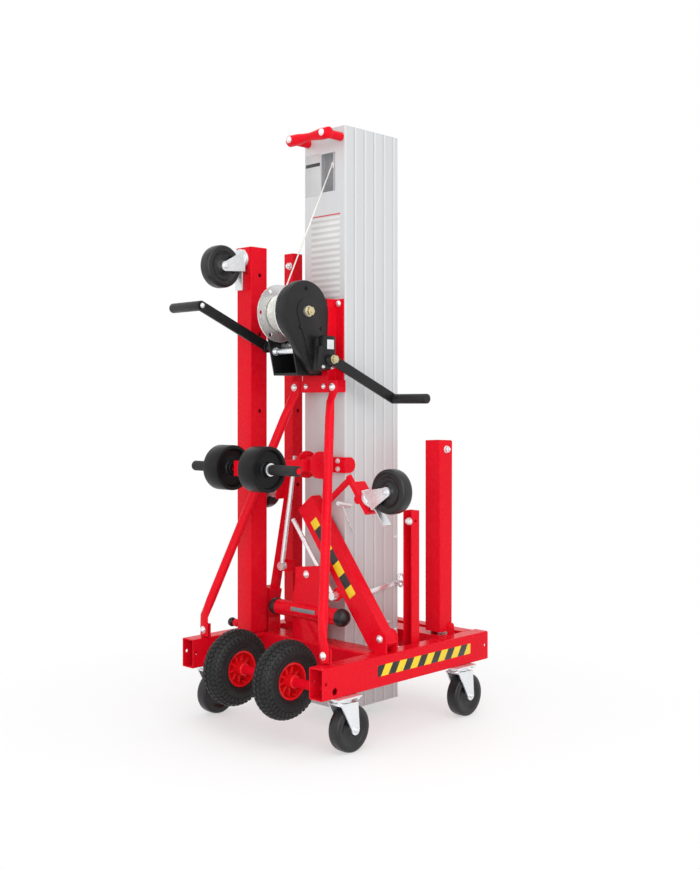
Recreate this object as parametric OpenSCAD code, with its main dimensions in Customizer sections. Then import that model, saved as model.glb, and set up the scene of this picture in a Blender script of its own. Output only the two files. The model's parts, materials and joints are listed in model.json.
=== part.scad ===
// Material hoist: a telescopic mast lift with a hand winch, folded for transport.
// Millimetres, +Z up, +Y towards the load side, -Y towards the winch operator.
// The origin is on the floor, under the middle of the hoist.

/* [Base frame] */
// Length of each side rail
rail_len = 837; // [800:1:900]
// Width of the rail tube
rail_w = 60; // [50:1:70]
// Height of the rail tube
rail_h = 100; // [90:1:120]
// Wall of the rail tube
rail_wall = 4; // [3:0.5:5]
// Distance between the centre lines of the two rails
track = 640; // [632:1:680]
// Front face of the front cross member, behind the rails' front ends
cross_st = 258; // [250:1:270]
// Depth of the front cross member
cross_d = 96; // [90:1:110]
// Depth of the rear cross member
rear_cross_d = 56; // [40:1:60]
// Diameter of the lock pin holes at the rail ends
pin_hole_d = 11; // [8:0.5:14]
// Diameter of the frame bolts
bolt_d = 12; // [8:1:14]

/* [Casters] */
// Height of a caster, floor to plate
caster_h = 185; // [180:1:200]
// Diameter of a caster wheel
caster_wheel_d = 150; // [140:1:152]
// Width of a caster wheel
caster_wheel_w = 46; // [36:1:48]
// Distance of the wheel axle from the swivel axis
caster_trail = 35; // [25:1:42]
// Length of a caster plate
caster_plate_l = 105; // [95:1:115]
// Width of a caster plate
caster_plate_w = 85; // [76:1:95]
// Thickness of a caster plate
caster_plate_t = 6; // [4:0.5:8]
// Distance of the front casters' swivel axes behind the rails' front ends
front_caster_st = 102; // [90:1:120]
// Distance of the rear casters' swivel axes behind the rails' front ends
rear_caster_st = 690; // [660:1:720]
// Distance of the caster swivel axes outside the rail centre lines
caster_out = 10; // [0:1:15]

/* [Transport wheels] */
// Diameter of a pneumatic tyre
tyre_d = 260; // [240:1:270]
// Width of a pneumatic tyre
tyre_w = 85; // [70:1:90]
// Diameter of the tyre's seat on the rim
rim_d = 124; // [110:1:130]
// Diameter of the wheel axle
axle_d = 22.4; // [18:0.2:26]
// Distance of the axle behind the rails' front ends
axle_st = 54; // [45:1:65]
// Height of the axle over the rails' underside
axle_rise = 23; // [20:1:40]
// Distance of each wheel from the middle
wheel_x = 125; // [110:1:150]

/* [Mast] */
// Width of the mast sections
mast_w = 200; // [190:1:210]
// Depth of one mast section
section_d = 50; // [48:1:54]
// Wall of the mast sections
mast_wall = 4; // [3:0.5:6]
// Length of the mast sections
mast_h = 2020; // [1960:1:2100]
// Height of the mast's foot over the floor
mast_z = 50; // [40:1:70]
// Depth of the rim behind the last section
mast_rim = 26; // [20:1:30]
// Diameter of the pulley in the mast head
sheave_d = 34; // [30:1:36]

/* [Winch] */
// Height of the drum axis
drum_z = 1417; // [1410:1:1425]
// Distance of the drum axis in front of the winch bracket
drum_reach = 108; // [107:1:112]
// Diameter of the drum flanges
flange_d = 200; // [180:1:204]
// Diameter of the drum core
core_d = 76; // [60:1:90]
// Diameter over the rope's inner layers
lay_d = 118; // [110:1:124]
// Diameter of the wire rope
rope_d = 5; // [4:0.5:5]
// Turns in the rope's outer layer
rope_turns = 13; // [8:1:13]
// Diameter of the winch shafts
shaft_d = 20; // [16:1:21]
// Radius of the cranks
crank_r = 303; // [280:1:320]
// Width of the crank bars
crank_w = 35; // [28:1:40]
// Length of a crank grip
grip_len = 150; // [120:1:160]
// Diameter of the crank and roller grips
grip_d = 34; // [28:1:38]

/* [Braces and handle] */
// Diameter of the brace tubes
brace_d = 32; // [26:1:34]
// Half width of the winch bracket
bracket_x = 104; // [102:1:110]
// Depth of the winch bracket in front of the mast
bracket_d = 48; // [44:1:54]
// Height of the winch bracket's lower edge
bracket_z = 1145; // [1140:1:1150]
// Diameter of the top handle at its ends
handle_end_d = 40; // [34:1:44]
// Diameter of the top handle at its middle
handle_mid_d = 28; // [22:1:32]
// Distance of each handle bolt from the middle
handle_bolt_x = 81; // [70:1:88]

/* [Roller arm] */
// Height of the roller arm's hinge
arm_z = 893; // [888:1:898]
// Length of the roller arm
arm_len = 316; // [300:1:318]
// Diameter of the skid rollers
roller_d = 150; // [130:1:154]
// Width of a skid roller
roller_w = 72; // [60:1:76]
// Diameter of the hinge discs
disc_d = 95; // [80:1:96]

/* [Outriggers] */
// Lean of the right outrigger from upright, in degrees
right_lean = 38; // [37:0.5:39]
// Lean of the left outrigger from upright, in degrees
left_lean = 12.5; // [12:0.5:14]
// Length of the right outrigger's leg
right_leg_len = 560; // [540:1:564]
// Depth of the outrigger legs
leg_d = 46; // [40:1:46]
// Diameter of the outriggers' stay rods
stay_d = 16; // [12:1:17]

/* [Stowed legs and forks] */
// Width of the stowed leg's square tube
stow_w = 75; // [70:1:76]
// Height of the stowed legs' tops
stow_top = 1665; // [1640:1:1690]
// Width of the stowed bar's square tube
bar_w = 50; // [44:1:52]
// Width of the fork tubes
fork_w = 70; // [60:1:74]
// Depth of the fork tubes
fork_d = 68; // [60:1:70]
// Height of the folded fork tubes
fork_h = 682; // [640:1:700]
// Width of the empty leg cradle
cradle_w = 40; // [36:1:44]

/* [Hidden] */
$fn = 48;
red = "crimson";
zinc = "silver";
black = "dimgray";
alloy = "gainsboro";
// Clearance between a moving piece and what carries it
fit = 0.3;
// How far the skid rollers reach in front of the rails
front_reach = 91;
rail_y0 = -(rail_len - front_reach) / 2;
function st(y) = rail_y0 + y;
rail_x0 = track / 2 - rail_w / 2;
rail_x1 = track / 2 + rail_w / 2;
rail_z = caster_h;
deck = rail_z + rail_h;
axle_z = rail_z + axle_rise;
caster_x = track / 2 + caster_out;
caster_r = caster_wheel_d / 2;
axle_drop = caster_h - caster_r;
fork_gap = caster_wheel_w / 2 + 3;
fork_t = 5;
caster_pin_d = 12;
mast_y = st(cross_st + cross_d);
mast_top = mast_z + mast_h;
mast_back = mast_y + 5 * section_d + mast_rim;
slide_gap = 0.6;
key_x = 60;
key_w = 12;
key_head = 22;
bracket_y = mast_y - bracket_d;
drum_y = bracket_y - drum_reach;
gear_m = 2.8;
drum_teeth = 68;
pinion_teeth = 15;
fine_m = 2.6;
second_teeth = 28;
input_teeth = 14;
counter_a = (drum_teeth + pinion_teeth) * gear_m / 2;
input_a = (second_teeth + input_teeth) * fine_m / 2;
counter_dir = -72;
input_dir = -72;
counter_y = drum_y + counter_a * cos(counter_dir);
counter_z = drum_z + counter_a * sin(counter_dir);
input_y = counter_y + input_a * cos(input_dir);
input_z = counter_z + input_a * sin(input_dir);
plate_t = 6;
frame_x0 = -88;
flange_x0 = -66;
flange_x1 = 24;
flange_t = 4;
right_x0 = 28;
right_x1 = right_x0 + plate_t;
cover_x1 = 72;
cover_r = 106;
cover_low_r = 46;
cover_t = 4;
brake_x1 = 126;
frame_z0 = 1203;
crank_x = 132;
left_crank_x = 158;
crank_drop = 26;
crank_splay = 7;
crank_t = 8;
hub_l = 18;
grip_pin_d = 12;
grip_x0 = crank_t + crank_r * sin(crank_splay) + 6;
handle_y = mast_y - 74;
handle_z = mast_top - 38;
rope_exit_x = 8;
rope_top_x = 31;
sheave_y = mast_y + mast_wall + 4 + sheave_d / 2;
sheave_z = mast_top - 125;
wind_r = lay_d / 2 + fit + rope_d / 2;
brace_foot = [track / 2 - 22, st(50), deck + 66];
brace_head = [95, bracket_y - 18, bracket_z - 22];
arm_y = mast_y - 54;
arm_w = 56;
roller_x = arm_w / 2 + 24;
roller_axle_d = 20;
roller_end = 262;
clamp_h = 54;
clamp_t = 8;
leg_y0 = mast_y - 55;
leg_y1 = leg_y0 + leg_d;
lug_t = 6;
lug_gap = 0.5;
right_pivot = [track / 2, 0, deck + 47];
left_pivot = [-(track / 2 - 65), 0, deck + 65];
leg_in = -67;
leg_out = 18;
bar_along = 508;
bar_perp = 190;
bar_d = 22;
right_caster_along = 400;
right_plate_perp = bar_perp + bar_d / 2 + 8;
left_link_w = 30;
left_link_y0 = leg_y0 + 24;
left_len = 516;
left_caster_along = 467;
stay_y = leg_y0 - 12;
right_tab = [222, -92];
left_tab_z = deck + 262;
tab_in = 107;
left_tab_x = left_pivot.x + tab_in;
stow_x0 = -rail_x0;
stow_y0 = st(200);
stow_wall = 4;
stow_foot = deck + 7;
spigot_h = 120;
stow_caster_z = stow_top - 44;
bar_y0 = st(427);
bar_wall = 4;
fork_in = 90;
fork_x0 = rail_x0 - fork_in;
fork_y0 = mast_back + 34;
fork_z0 = deck + 8;
fork_wall = 4;
fork_pin_y = fork_y0 + fork_d - 12;
fork_pin_z = fork_z0 + 12;
fork_pin_d = 14;
carriage_t = 14;
beam_h = 48;
beam_z0 = deck - beam_h - 2;
cradle_y0 = st(488);
cradle_d = 40;
cradle_top = deck + 453;
cradle_t = 5;
buffer_y = st(275);
buffer_z = deck + 99;
buffer_d = 55;
buffer_in = 140;
buffer_x = rail_x0 - buffer_in;
cap_d = 62;
stay_plate_y = st(266);

// Box from its lowest to its highest corner
module block(lo, hi) {
    translate(lo) cube(hi - lo);
}

// Round bar from point a to point b
module rod(a, b, d) {
    v = b - a;
    translate(a) rotate([0, acos(v.z / norm(v)), atan2(v.y, v.x)]) cylinder(d = d, h = norm(v));
}

// Round bar along X
module xbar(x0, x1, y, z, d) {
    translate([x0, y, z]) rotate([0, 90, 0]) cylinder(d = d, h = x1 - x0);
}

// Round bar along Y
module ybar(y0, y1, x, z, d) {
    translate([x, y0, z]) rotate([-90, 0, 0]) cylinder(d = d, h = y1 - y0);
}

// Plate across X, from an outline in Y and Z
module xplate(x0, x1) {
    translate([x0, 0, 0]) rotate([90, 0, 90]) linear_extrude(x1 - x0) children();
}

// Plate across Y, from an outline in X and Z
module yplate(y0, y1) {
    translate([0, y1, 0]) rotate([90, 0, 0]) linear_extrude(y1 - y0) children();
}

// Outline of two circles and the straight sides that join them
module belt2d(p, rp, q, rq) {
    v = q - p;
    lean = asin((rp - rq) / norm(v));
    dir = atan2(v.y, v.x);
    a = dir + 90 - lean;
    b = dir - 90 + lean;
    translate(p) circle(rp);
    translate(q) circle(rq);
    polygon([p + rp * [cos(a), sin(a)], q + rq * [cos(a), sin(a)], q + rq * [cos(b), sin(b)],
        p + rp * [cos(b), sin(b)]]);
}

// Gear outline with straight-sided teeth
module gear2d(m, z) {
    rp = m * z / 2;
    tip = rp + 0.8 * m;
    root = rp - 1.05 * m;
    half = m * 180 / 4 * PI / 180 - 0.15 * m;
    at_tip = (half - 0.8 * m * tan(20)) / tip * 180 / PI;
    at_root = (half + 1.05 * m * tan(20)) / root * 180 / PI;
    polygon([for (i = [0 : z - 1]) for (e = [[root, -at_root], [tip, -at_tip], [tip, at_tip], [root, at_root]])
        e[0] * [cos(i * 360 / z + e[1]), sin(i * 360 / z + e[1])]]);
}

// Rectangular tube standing along Z
module upright_tube(lo, hi, wall) {
    difference() {
        block(lo, hi);
        block([lo.x + wall, lo.y + wall, lo.z - 1], [hi.x - wall, hi.y - wall, hi.z + 1]);
    }
}

// Hexagon bolt head with washer, axis along Y, pointing to -Y from the face at y
module bolt_front(x, y, z) {
    ybar(y - 3, y, x, z, bolt_d * 2);
    ybar(y - 11, y - 3, x, z, bolt_d * 1.5);
}

// Base frame

module rail() {
    color(red) difference() {
        block([rail_x0, st(0), rail_z], [rail_x1, st(rail_len), deck]);
        block([rail_x0 + rail_wall, st(-1), rail_z + rail_wall],
            [rail_x1 - rail_wall, st(rail_len + 1), deck - rail_wall]);
        xbar(rail_x0 - 1, rail_x1 + 1, st(axle_st), axle_z, axle_d + 2 * fit);
        for (y = [16, rail_len - 17])
            xbar(rail_x0 - 1, rail_x1 + 1, st(y), rail_z + rail_h / 2 + 2, pin_hole_d);
    }
}

module left_rail() {
    mirror([1, 0, 0]) rail();
}

module right_rail() {
    rail();
}

module cross_tube(y0, y1, z0) {
    difference() {
        block([-rail_x0, y0, z0], [rail_x0, y1, deck]);
        block([-rail_x0 - 1, y0 + rail_wall, z0 + rail_wall], [rail_x0 + 1, y1 - rail_wall, deck - rail_wall]);
    }
}

module cross_members() {
    color(red) {
        cross_tube(st(cross_st), st(cross_st + cross_d), rail_z);
        cross_tube(st(rail_len) - rear_cross_d - 14, st(rail_len) - 14, rail_z);
    }
}

// Outline of a lug with a round head, in X and Z
module lug2d(x, z, r) {
    translate([x, z]) circle(r);
    translate([x - r, deck]) square([2 * r, z - deck]);
}

module lug_pair(x, z, r) {
    for (y = [leg_y0 - lug_gap - lug_t, leg_y1 + lug_gap])
        yplate(y, y + lug_t) difference() {
            lug2d(x, z, r);
            translate([x, z]) circle(d = bolt_d);
        }
}

// Spigot of the stowed leg, on a ledge that leaves the cross member free
module leg_spigot() {
    slack = stow_wall + 0.5;
    block([stow_x0 + slack, stow_y0 + slack, deck], [stow_x0 + stow_w - slack, stow_y0 + stow_w - slack,
        stow_foot + spigot_h]);
    block([-rail_x0, stow_y0, deck - 12], [stow_x0 + stow_w, st(cross_st), deck]);
}

module bar_spigot() {
    slack = bar_wall + 0.5;
    block([stow_x0 + slack, bar_y0 + slack, deck - 1], [stow_x0 + bar_w - slack, bar_y0 + bar_w - slack,
        stow_foot + spigot_h]);
    block([-rail_x0, bar_y0, deck - 12], [stow_x0 + bar_w, bar_y0 + bar_w, deck]);
}

// Plate that carries the buffer bar and holds the outriggers' stays in use
module stay_plate() {
    yplate(stay_plate_y, stay_plate_y + 8) difference() {
        polygon([[-70, deck], [70, deck], [70, deck + 190], [98, deck + 230], [98, deck + 271],
            [40, deck + 262], [-56, deck + 250], [-56, deck + 195], [-70, deck + 150]]);
        translate([0, deck + 230]) circle(d = bolt_d);
        translate([0, buffer_z]) circle(d = buffer_d + 2 * fit);
    }
    for (x = [-70, 62])
        block([x, stay_plate_y + 8 + fit, deck], [x + 8, stay_plate_y + 26, deck + 60]);
}

module buffer_bar() {
    difference() {
        xbar(-buffer_x + fit, buffer_x - fit, buffer_y, buffer_z, buffer_d);
        xbar(-buffer_x - 1, buffer_x + 1, buffer_y, buffer_z, buffer_d - 8);
    }
}

module frame_brackets() {
    color(red) {
        lug_pair(right_pivot.x, right_pivot.z, 28);
        lug_pair(left_pivot.x, left_pivot.z, 28);
        for (side = [-1, 1])
            block([side * (track / 2 - 20) - 22, st(60), deck], [side * (track / 2 - 20) + 22, st(68), deck + 50]);
        leg_spigot();
        bar_spigot();
        difference() {
            stay_plate();
            xbar(-buffer_x, buffer_x, buffer_y, buffer_z, buffer_d + 2 * fit);
        }
        buffer_bar();
    }
}

module buffer_caps() {
    color(black) for (side = [-1, 1]) translate([side * buffer_x, buffer_y, buffer_z]) rotate([0, side * 90, 0])
        rotate_extrude() intersection() {
            translate([0, 12]) circle(d = cap_d);
            square([cap_d, 2 * cap_d]);
        }
}

// Caster plate, top face at the origin, swivel axis along Z
module caster_plate() {
    translate([-caster_plate_w / 2, -caster_plate_l / 2, -caster_plate_t])
        cube([caster_plate_w, caster_plate_l, caster_plate_t]);
}

module frame_hardware() {
    color(zinc) {
        for (x = [-caster_x, caster_x], y = [front_caster_st, rear_caster_st])
            translate([x, st(y), rail_z]) caster_plate();
        for (x = [-1, 1]) {
            bolt_front(x * (track / 2 - 20), st(52), deck + 27);
            bolt_front(x * brace_head.x, bracket_y - 8, bracket_z + 18);
            bolt_front(x * 75, mast_y - clamp_t, arm_z + 14);
            bolt_front(x * 75, mast_y - clamp_t, arm_z - 14);
        }
        bolt_front(0, stay_plate_y, deck + 230);
        for (p = [right_pivot, left_pivot]) {
            bolt_front(p.x, leg_y0 - lug_gap - lug_t, p.z);
            ybar(leg_y0 - lug_gap - lug_t, leg_y1 + lug_gap + lug_t, p.x, p.z, bolt_d - 2 * fit);
        }
    }
}

// Transport wheels

module transport_axle() {
    hub = tyre_w / 2 + 6;
    color(red) {
        xbar(-rail_x0 - 20, rail_x0 + 20, st(axle_st), axle_z, axle_d);
        for (x = [[-rail_x0, -wheel_x - hub], [-wheel_x + hub, wheel_x - hub], [wheel_x + hub, rail_x0]])
            difference() {
                xbar(x[0] + fit, x[1] - fit, st(axle_st), axle_z, axle_d + 8);
                xbar(x[0] - 1, x[1] + 1, st(axle_st), axle_z, axle_d + 2 * fit);
            }
    }
}

// Turns a profile of radius and width into a wheel on an axle along X
module wheel_at(x, y, z) {
    translate([x, y, z]) rotate([0, 90, 0]) rotate_extrude($fn = 96) children();
}

module tyre(x) {
    bulge = tyre_w / 2;
    color(black) wheel_at(x, st(axle_st), axle_z) {
        difference() {
            union() {
                translate([tyre_d / 2 - bulge, 0]) circle(bulge);
                translate([rim_d / 2 + fit, -bulge * 0.7]) square([tyre_d / 2 - bulge - rim_d / 2, bulge * 1.4]);
            }
            translate([0, -tyre_w]) square([rim_d / 2 + fit, 2 * tyre_w]);
        }
    }
}

module rim(x) {
    hub = tyre_w / 2 + 6;
    holes = 8;
    color(red) difference() {
        wheel_at(x, st(axle_st), axle_z) {
            translate([axle_d / 2 + fit, -hub + fit]) square([10, 2 * hub - 2 * fit]);
            translate([axle_d / 2 + fit, -5]) square([rim_d / 2 - axle_d / 2 - 2 * fit, 10]);
            translate([rim_d / 2 - 8, -tyre_w * 0.36]) square([8, tyre_w * 0.72]);
        }
        for (i = [0 : holes - 1]) translate([x, st(axle_st), axle_z]) rotate([i * 360 / holes, 0, 0])
            translate([-20, (rim_d + axle_d) / 4, 0]) rotate([0, 90, 0]) cylinder(d = 16, h = 40);
    }
}

module left_tyre() {
    tyre(-wheel_x);
}

module right_tyre() {
    tyre(wheel_x);
}

module left_rim() {
    rim(-wheel_x);
}

module right_rim() {
    rim(wheel_x);
}

// Casters, each drawn with its plate's top at the origin and its swivel axis along Z

module caster_fork(brake = false) {
    crown = caster_plate_t + fit;
    color(zinc) difference() {
        union() {
            translate([0, 0, -crown - 16]) cylinder(d = 62, h = 16);
            block([-fork_gap - fork_t, -30, -crown - 21], [fork_gap + fork_t, 46, -crown - 16]);
            for (side = [-1, 1]) xplate(side * (fork_gap + fork_t / 2) - fork_t / 2,
                side * (fork_gap + fork_t / 2) + fork_t / 2) {
                translate([caster_trail, -axle_drop]) circle(17);
                polygon([[-30, -crown - 16], [46, -crown - 16], [caster_trail + 17, -axle_drop],
                    [caster_trail - 17, -axle_drop]]);
            }
            xbar(-fork_gap - fork_t - 6, fork_gap + fork_t + 6, caster_trail, -axle_drop, caster_pin_d);
            if (brake) block([-18, 40, -crown - 21], [18, 112, -crown - 16]);
        }
        translate([0, 0, -crown - 30]) cylinder(d = 14, h = 20);
    }
}

module caster_wheel() {
    web = 12;
    color(black) wheel_at(0, caster_trail, -axle_drop) difference() {
        union() {
            translate([caster_pin_d / 2 + fit, -caster_wheel_w / 2 - 2]) square([12, caster_wheel_w + 4]);
            translate([caster_pin_d / 2 + fit, -web]) square([caster_r - 30, 2 * web]);
            translate([caster_r - 24, -caster_wheel_w / 2]) square([20, caster_wheel_w]);
            translate([caster_r - 6, -caster_wheel_w / 2 + 6]) square([6, caster_wheel_w - 12]);
            for (side = [-1, 1]) translate([caster_r - 6, side * (caster_wheel_w / 2 - 6)]) circle(6);
        }
        translate([-20, -caster_wheel_w]) square([20, 2 * caster_wheel_w]);
    }
}

// Places a base caster, turned about its swivel axis
module base_caster(x, y, turn) {
    translate([x, st(y), rail_z]) rotate([0, 0, turn]) children();
}

module front_left_caster_fork() {
    base_caster(-caster_x, front_caster_st, 0) caster_fork();
}

module front_left_caster_wheel() {
    base_caster(-caster_x, front_caster_st, 0) caster_wheel();
}

module front_right_caster_fork() {
    base_caster(caster_x, front_caster_st, 0) caster_fork();
}

module front_right_caster_wheel() {
    base_caster(caster_x, front_caster_st, 0) caster_wheel();
}

module rear_left_caster_fork() {
    base_caster(-caster_x, rear_caster_st, 90) caster_fork();
}

module rear_left_caster_wheel() {
    base_caster(-caster_x, rear_caster_st, 90) caster_wheel();
}

module rear_right_caster_fork() {
    base_caster(caster_x, rear_caster_st, 0) caster_fork();
}

module rear_right_caster_wheel() {
    base_caster(caster_x, rear_caster_st, 0) caster_wheel();
}

// Mast

// Section outline with its front face at y = 0
module section2d(first, depth) {
    back = depth - slide_gap;
    difference() {
        translate([-mast_w / 2, 0]) square([mast_w, back]);
        translate([-mast_w / 2 + mast_wall + 2, mast_wall])
            square([mast_w - 2 * mast_wall - 4, back - 2 * mast_wall]);
        for (side = [-1, 1], y = [back / 3, back * 2 / 3])
            translate([side * mast_w / 2, y]) square([3, 3], center = true);
        if (!first) for (side = [-1, 1])
            translate([side * key_x - key_w / 2 - slide_gap, -1]) square([key_w + 2 * slide_gap, mast_wall + 2]);
    }
    for (side = [-1, 1]) {
        translate([side * (key_x - 18) - 2, 1]) square([4, back - 2]);
        translate([side * key_x - key_w / 2, back - 1]) square([key_w, mast_wall + slide_gap + 3]);
        translate([side * key_x - key_head / 2, back + mast_wall + slide_gap + 1]) square([key_head, 4]);
    }
}

module mast_section(index) {
    depth = index == 5 ? section_d + mast_rim : section_d;
    color(alloy) translate([0, mast_y + (index - 1) * section_d, mast_z])
        linear_extrude(mast_h) section2d(index == 1, depth);
}

module mast_section_1() {
    color(alloy) {
        difference() {
            mast_section(1);
            block([rope_top_x - 48, mast_y - 1, sheave_z - 95], [rope_top_x + 21, mast_y + mast_wall + 1, sheave_z + 40]);
        }
        xbar(rope_top_x - 12, mast_w / 2 - mast_wall - 1, sheave_y, sheave_z, 8);
        block([-mast_w / 2, mast_y, mast_z - 8], [mast_w / 2, mast_back, mast_z - fit]);
    }
}

module mast_section_2() {
    mast_section(2);
}

module mast_section_3() {
    mast_section(3);
}

module mast_section_4() {
    mast_section(4);
}

module mast_section_5() {
    mast_section(5);
}

module top_sheave() {
    r = sheave_d / 2;
    color(zinc) wheel_at(rope_top_x, sheave_y, sheave_z) difference() {
        translate([4 + fit, -7]) square([r - 4 - fit, 14]);
        translate([r + 0.5, 0]) circle(rope_d / 2 + 0.5);
    }
}

// Carriage behind the last section, with a beam between the rails for the forks
module carriage() {
    plate_y1 = mast_back - slide_gap + 1 + mast_wall + 4 + carriage_t;
    half = key_x + key_head / 2 + 7;
    color(red) {
        difference() {
            block([-half, mast_back + slide_gap, beam_z0], [half, plate_y1, deck + 260]);
            for (side = [-1, 1]) {
                block([side * key_x - key_w / 2 - slide_gap, mast_back - 1, beam_z0 - 1],
                    [side * key_x + key_w / 2 + slide_gap, mast_back + mast_wall + 2, deck + 300]);
                block([side * key_x - key_head / 2 - slide_gap, mast_back + mast_wall - slide_gap - 1, beam_z0 - 1],
                    [side * key_x + key_head / 2 + slide_gap, mast_back + mast_wall + slide_gap + 5, deck + 300]);
            }
        }
        difference() {
            block([-rail_x0 + 10, plate_y1 - 1, beam_z0], [rail_x0 - 10, fork_y0 + fork_d + 6, beam_z0 + beam_h]);
            block([-rail_x0, plate_y1 + 3, beam_z0 + 4], [rail_x0, fork_y0 + fork_d + 2, beam_z0 + beam_h - 4]);
        }
        for (side = [-1, 1], x = [fork_x0 - fit - 6, fork_x0 + fork_w + fit])
            translate([side * (x + 3), 0, 0]) xplate(-3, 3) {
                translate([fork_pin_y, fork_pin_z]) circle(16);
                translate([fork_pin_y - 16, beam_z0 + beam_h - 1]) square([32, fork_pin_z - beam_z0 - beam_h + 1]);
            }
        for (side = [-1, 1])
            translate([side * (fork_x0 + fork_w / 2), 0, 0])
                xbar(-fork_w / 2 - 10, fork_w / 2 + 10, fork_pin_y, fork_pin_z, fork_pin_d);
    }
}

// Load fork folded upright, on the +X side
module fork_tube() {
    x1 = fork_x0 + fork_w;
    color(red) difference() {
        upright_tube([fork_x0, fork_y0, fork_z0], [x1, fork_y0 + fork_d, fork_z0 + fork_h], fork_wall);
        xbar(fork_x0 - 1, x1 + 1, fork_pin_y, fork_pin_z, fork_pin_d + 2 * fit);
        xbar(fork_x0 - 1, x1 + 1, fork_y0 + fork_d / 2, fork_z0 + fork_h - 32, bolt_d);
    }
}

module left_fork() {
    mirror([1, 0, 0]) fork_tube();
}

module right_fork() {
    fork_tube();
}

// Handle across the mast head
module top_handle() {
    half = handle_bolt_x + handle_end_d / 2;
    neck = handle_bolt_x - handle_end_d;
    color(red) {
        translate([0, handle_y, handle_z]) rotate([0, 90, 0]) rotate_extrude() {
            translate([0, -half]) square([handle_mid_d / 2, 2 * half]);
            for (side = [-1, 1]) translate([0, side * handle_bolt_x]) {
                polygon([[0, -side * handle_end_d * 0.5], [handle_mid_d / 2, -side * handle_end_d * 0.5],
                    [handle_end_d / 2, -side * handle_end_d * 0.25], [handle_end_d / 2, side * handle_end_d / 2 - side * 4],
                    [handle_end_d / 2 - 4, side * handle_end_d / 2], [0, side * handle_end_d / 2]]);
            }
        }
        for (side = [-1, 1]) ybar(handle_y, mast_y, side * handle_bolt_x, handle_z, 30);
        for (side = [-1, 1]) ybar(handle_y - handle_end_d / 2 - 6, handle_y, side * handle_bolt_x, handle_z, 22);
    }
    assert(neck > 20);
}

// Winch

// Beam for the braces and, over it, a pressed hat section that carries the winch
module winch_bracket() {
    beam_top = bracket_z + 42;
    top = bracket_z + 323;
    hat_x = 62;
    wing_x = 97;
    wall = 6;
    color(red) difference() {
        union() {
            difference() {
                block([-bracket_x, bracket_y, bracket_z], [bracket_x, mast_y, beam_top]);
                block([-bracket_x + wall, bracket_y + wall, bracket_z - 1], [bracket_x - wall, mast_y - wall, beam_top - wall]);
            }
            block([-hat_x, bracket_y, beam_top - 1], [hat_x, bracket_y + wall, top]);
            for (side = [-1, 1]) {
                translate([side * (hat_x - wall / 2), 0, 0])
                    block([-wall / 2, bracket_y, beam_top - 1], [wall / 2, mast_y, top]);
                translate([side * (hat_x + wing_x) / 2, 0, 0])
                    block([-(wing_x - hat_x) / 2 - 1, mast_y - wall, beam_top - 1], [(wing_x - hat_x) / 2, mast_y, top]);
            }
        }
        for (side = [-1, 1]) {
            ybar(bracket_y - 1, bracket_y + wall + 1, side * brace_head.x, bracket_z + 18, bolt_d);
            for (z = [beam_top + 60, top - 15]) ybar(mast_y - wall - 1, mast_y + 1, side * (hat_x + 14), z, bolt_d);
        }
    }
}

module brace() {
    color(red) difference() {
        union() {
            rod(brace_foot, brace_head, brace_d);
            block([track / 2 - 36, st(52), deck + 4], [track / 2 - 4, st(60), deck + 92]);
            block([brace_head.x - 18, bracket_y - 8, bracket_z - 60], [brace_head.x + 18, bracket_y, bracket_z + 36]);
        }
        ybar(st(40), st(70), track / 2 - 20, deck + 27, bolt_d);
        ybar(bracket_y - 30, bracket_y + 10, brace_head.x, bracket_z + 18, bolt_d);
    }
}

module braces() {
    brace();
    mirror([1, 0, 0]) brace();
}

// Outline of a winch side plate in Y and Z
module side_plate2d() {
    translate([drum_y, drum_z]) circle(55);
    polygon([[drum_y - 55, drum_z], [drum_y + 55, drum_z], [bracket_y, drum_z - 92], [bracket_y, frame_z0],
        [drum_y - 5, frame_z0]]);
}

module winch_frame() {
    color(black) difference() {
        union() {
            xplate(frame_x0, frame_x0 + plate_t) side_plate2d();
            xplate(right_x0, right_x1) side_plate2d();
            block([frame_x0, drum_y - 5, frame_z0], [right_x1, bracket_y, frame_z0 + 8]);
            block([frame_x0, bracket_y - 8, frame_z0], [right_x1, bracket_y, drum_z - 95]);
            xbar(8 - left_crank_x, frame_x0 + 1, counter_y, counter_z, 38);
        }
        xbar(frame_x0 - 1, right_x1 + 1, drum_y, drum_z, shaft_d + 5 + 2 * fit);
        xbar(-left_crank_x, right_x1 + 1, counter_y, counter_z, shaft_d + 2 * fit);
        xbar(right_x0 - 1, right_x1 + 1, input_y, input_z, shaft_d + 2 * fit);
    }
}

module cover2d(inset) {
    belt2d([drum_y, drum_z], cover_r - inset, [input_y, input_z], cover_low_r - inset);
}

module gear_cover() {
    box_y0 = input_y - 34;
    box_z0 = input_z - 38;
    color(black) {
        difference() {
            xplate(right_x1, cover_x1) cover2d(0);
            xplate(right_x1 - 1, cover_x1 - cover_t) cover2d(cover_t);
            xbar(right_x1, cover_x1 + 1, drum_y, drum_z, shaft_d + 5 + 2 * fit);
            xbar(right_x1, cover_x1 + 1, input_y, input_z, shaft_d + 2 * fit);
        }
        difference() {
            block([cover_x1, box_y0, box_z0], [brake_x1, box_y0 + 72, box_z0 + 122]);
            xbar(cover_x1 - 1, brake_x1 + 1, input_y, input_z, shaft_d + 2 * fit);
            block([cover_x1 + 8, box_y0 - 1, box_z0 + 92], [brake_x1 + 1, box_y0 + 20, box_z0 + 123]);
        }
    }
}

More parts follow.
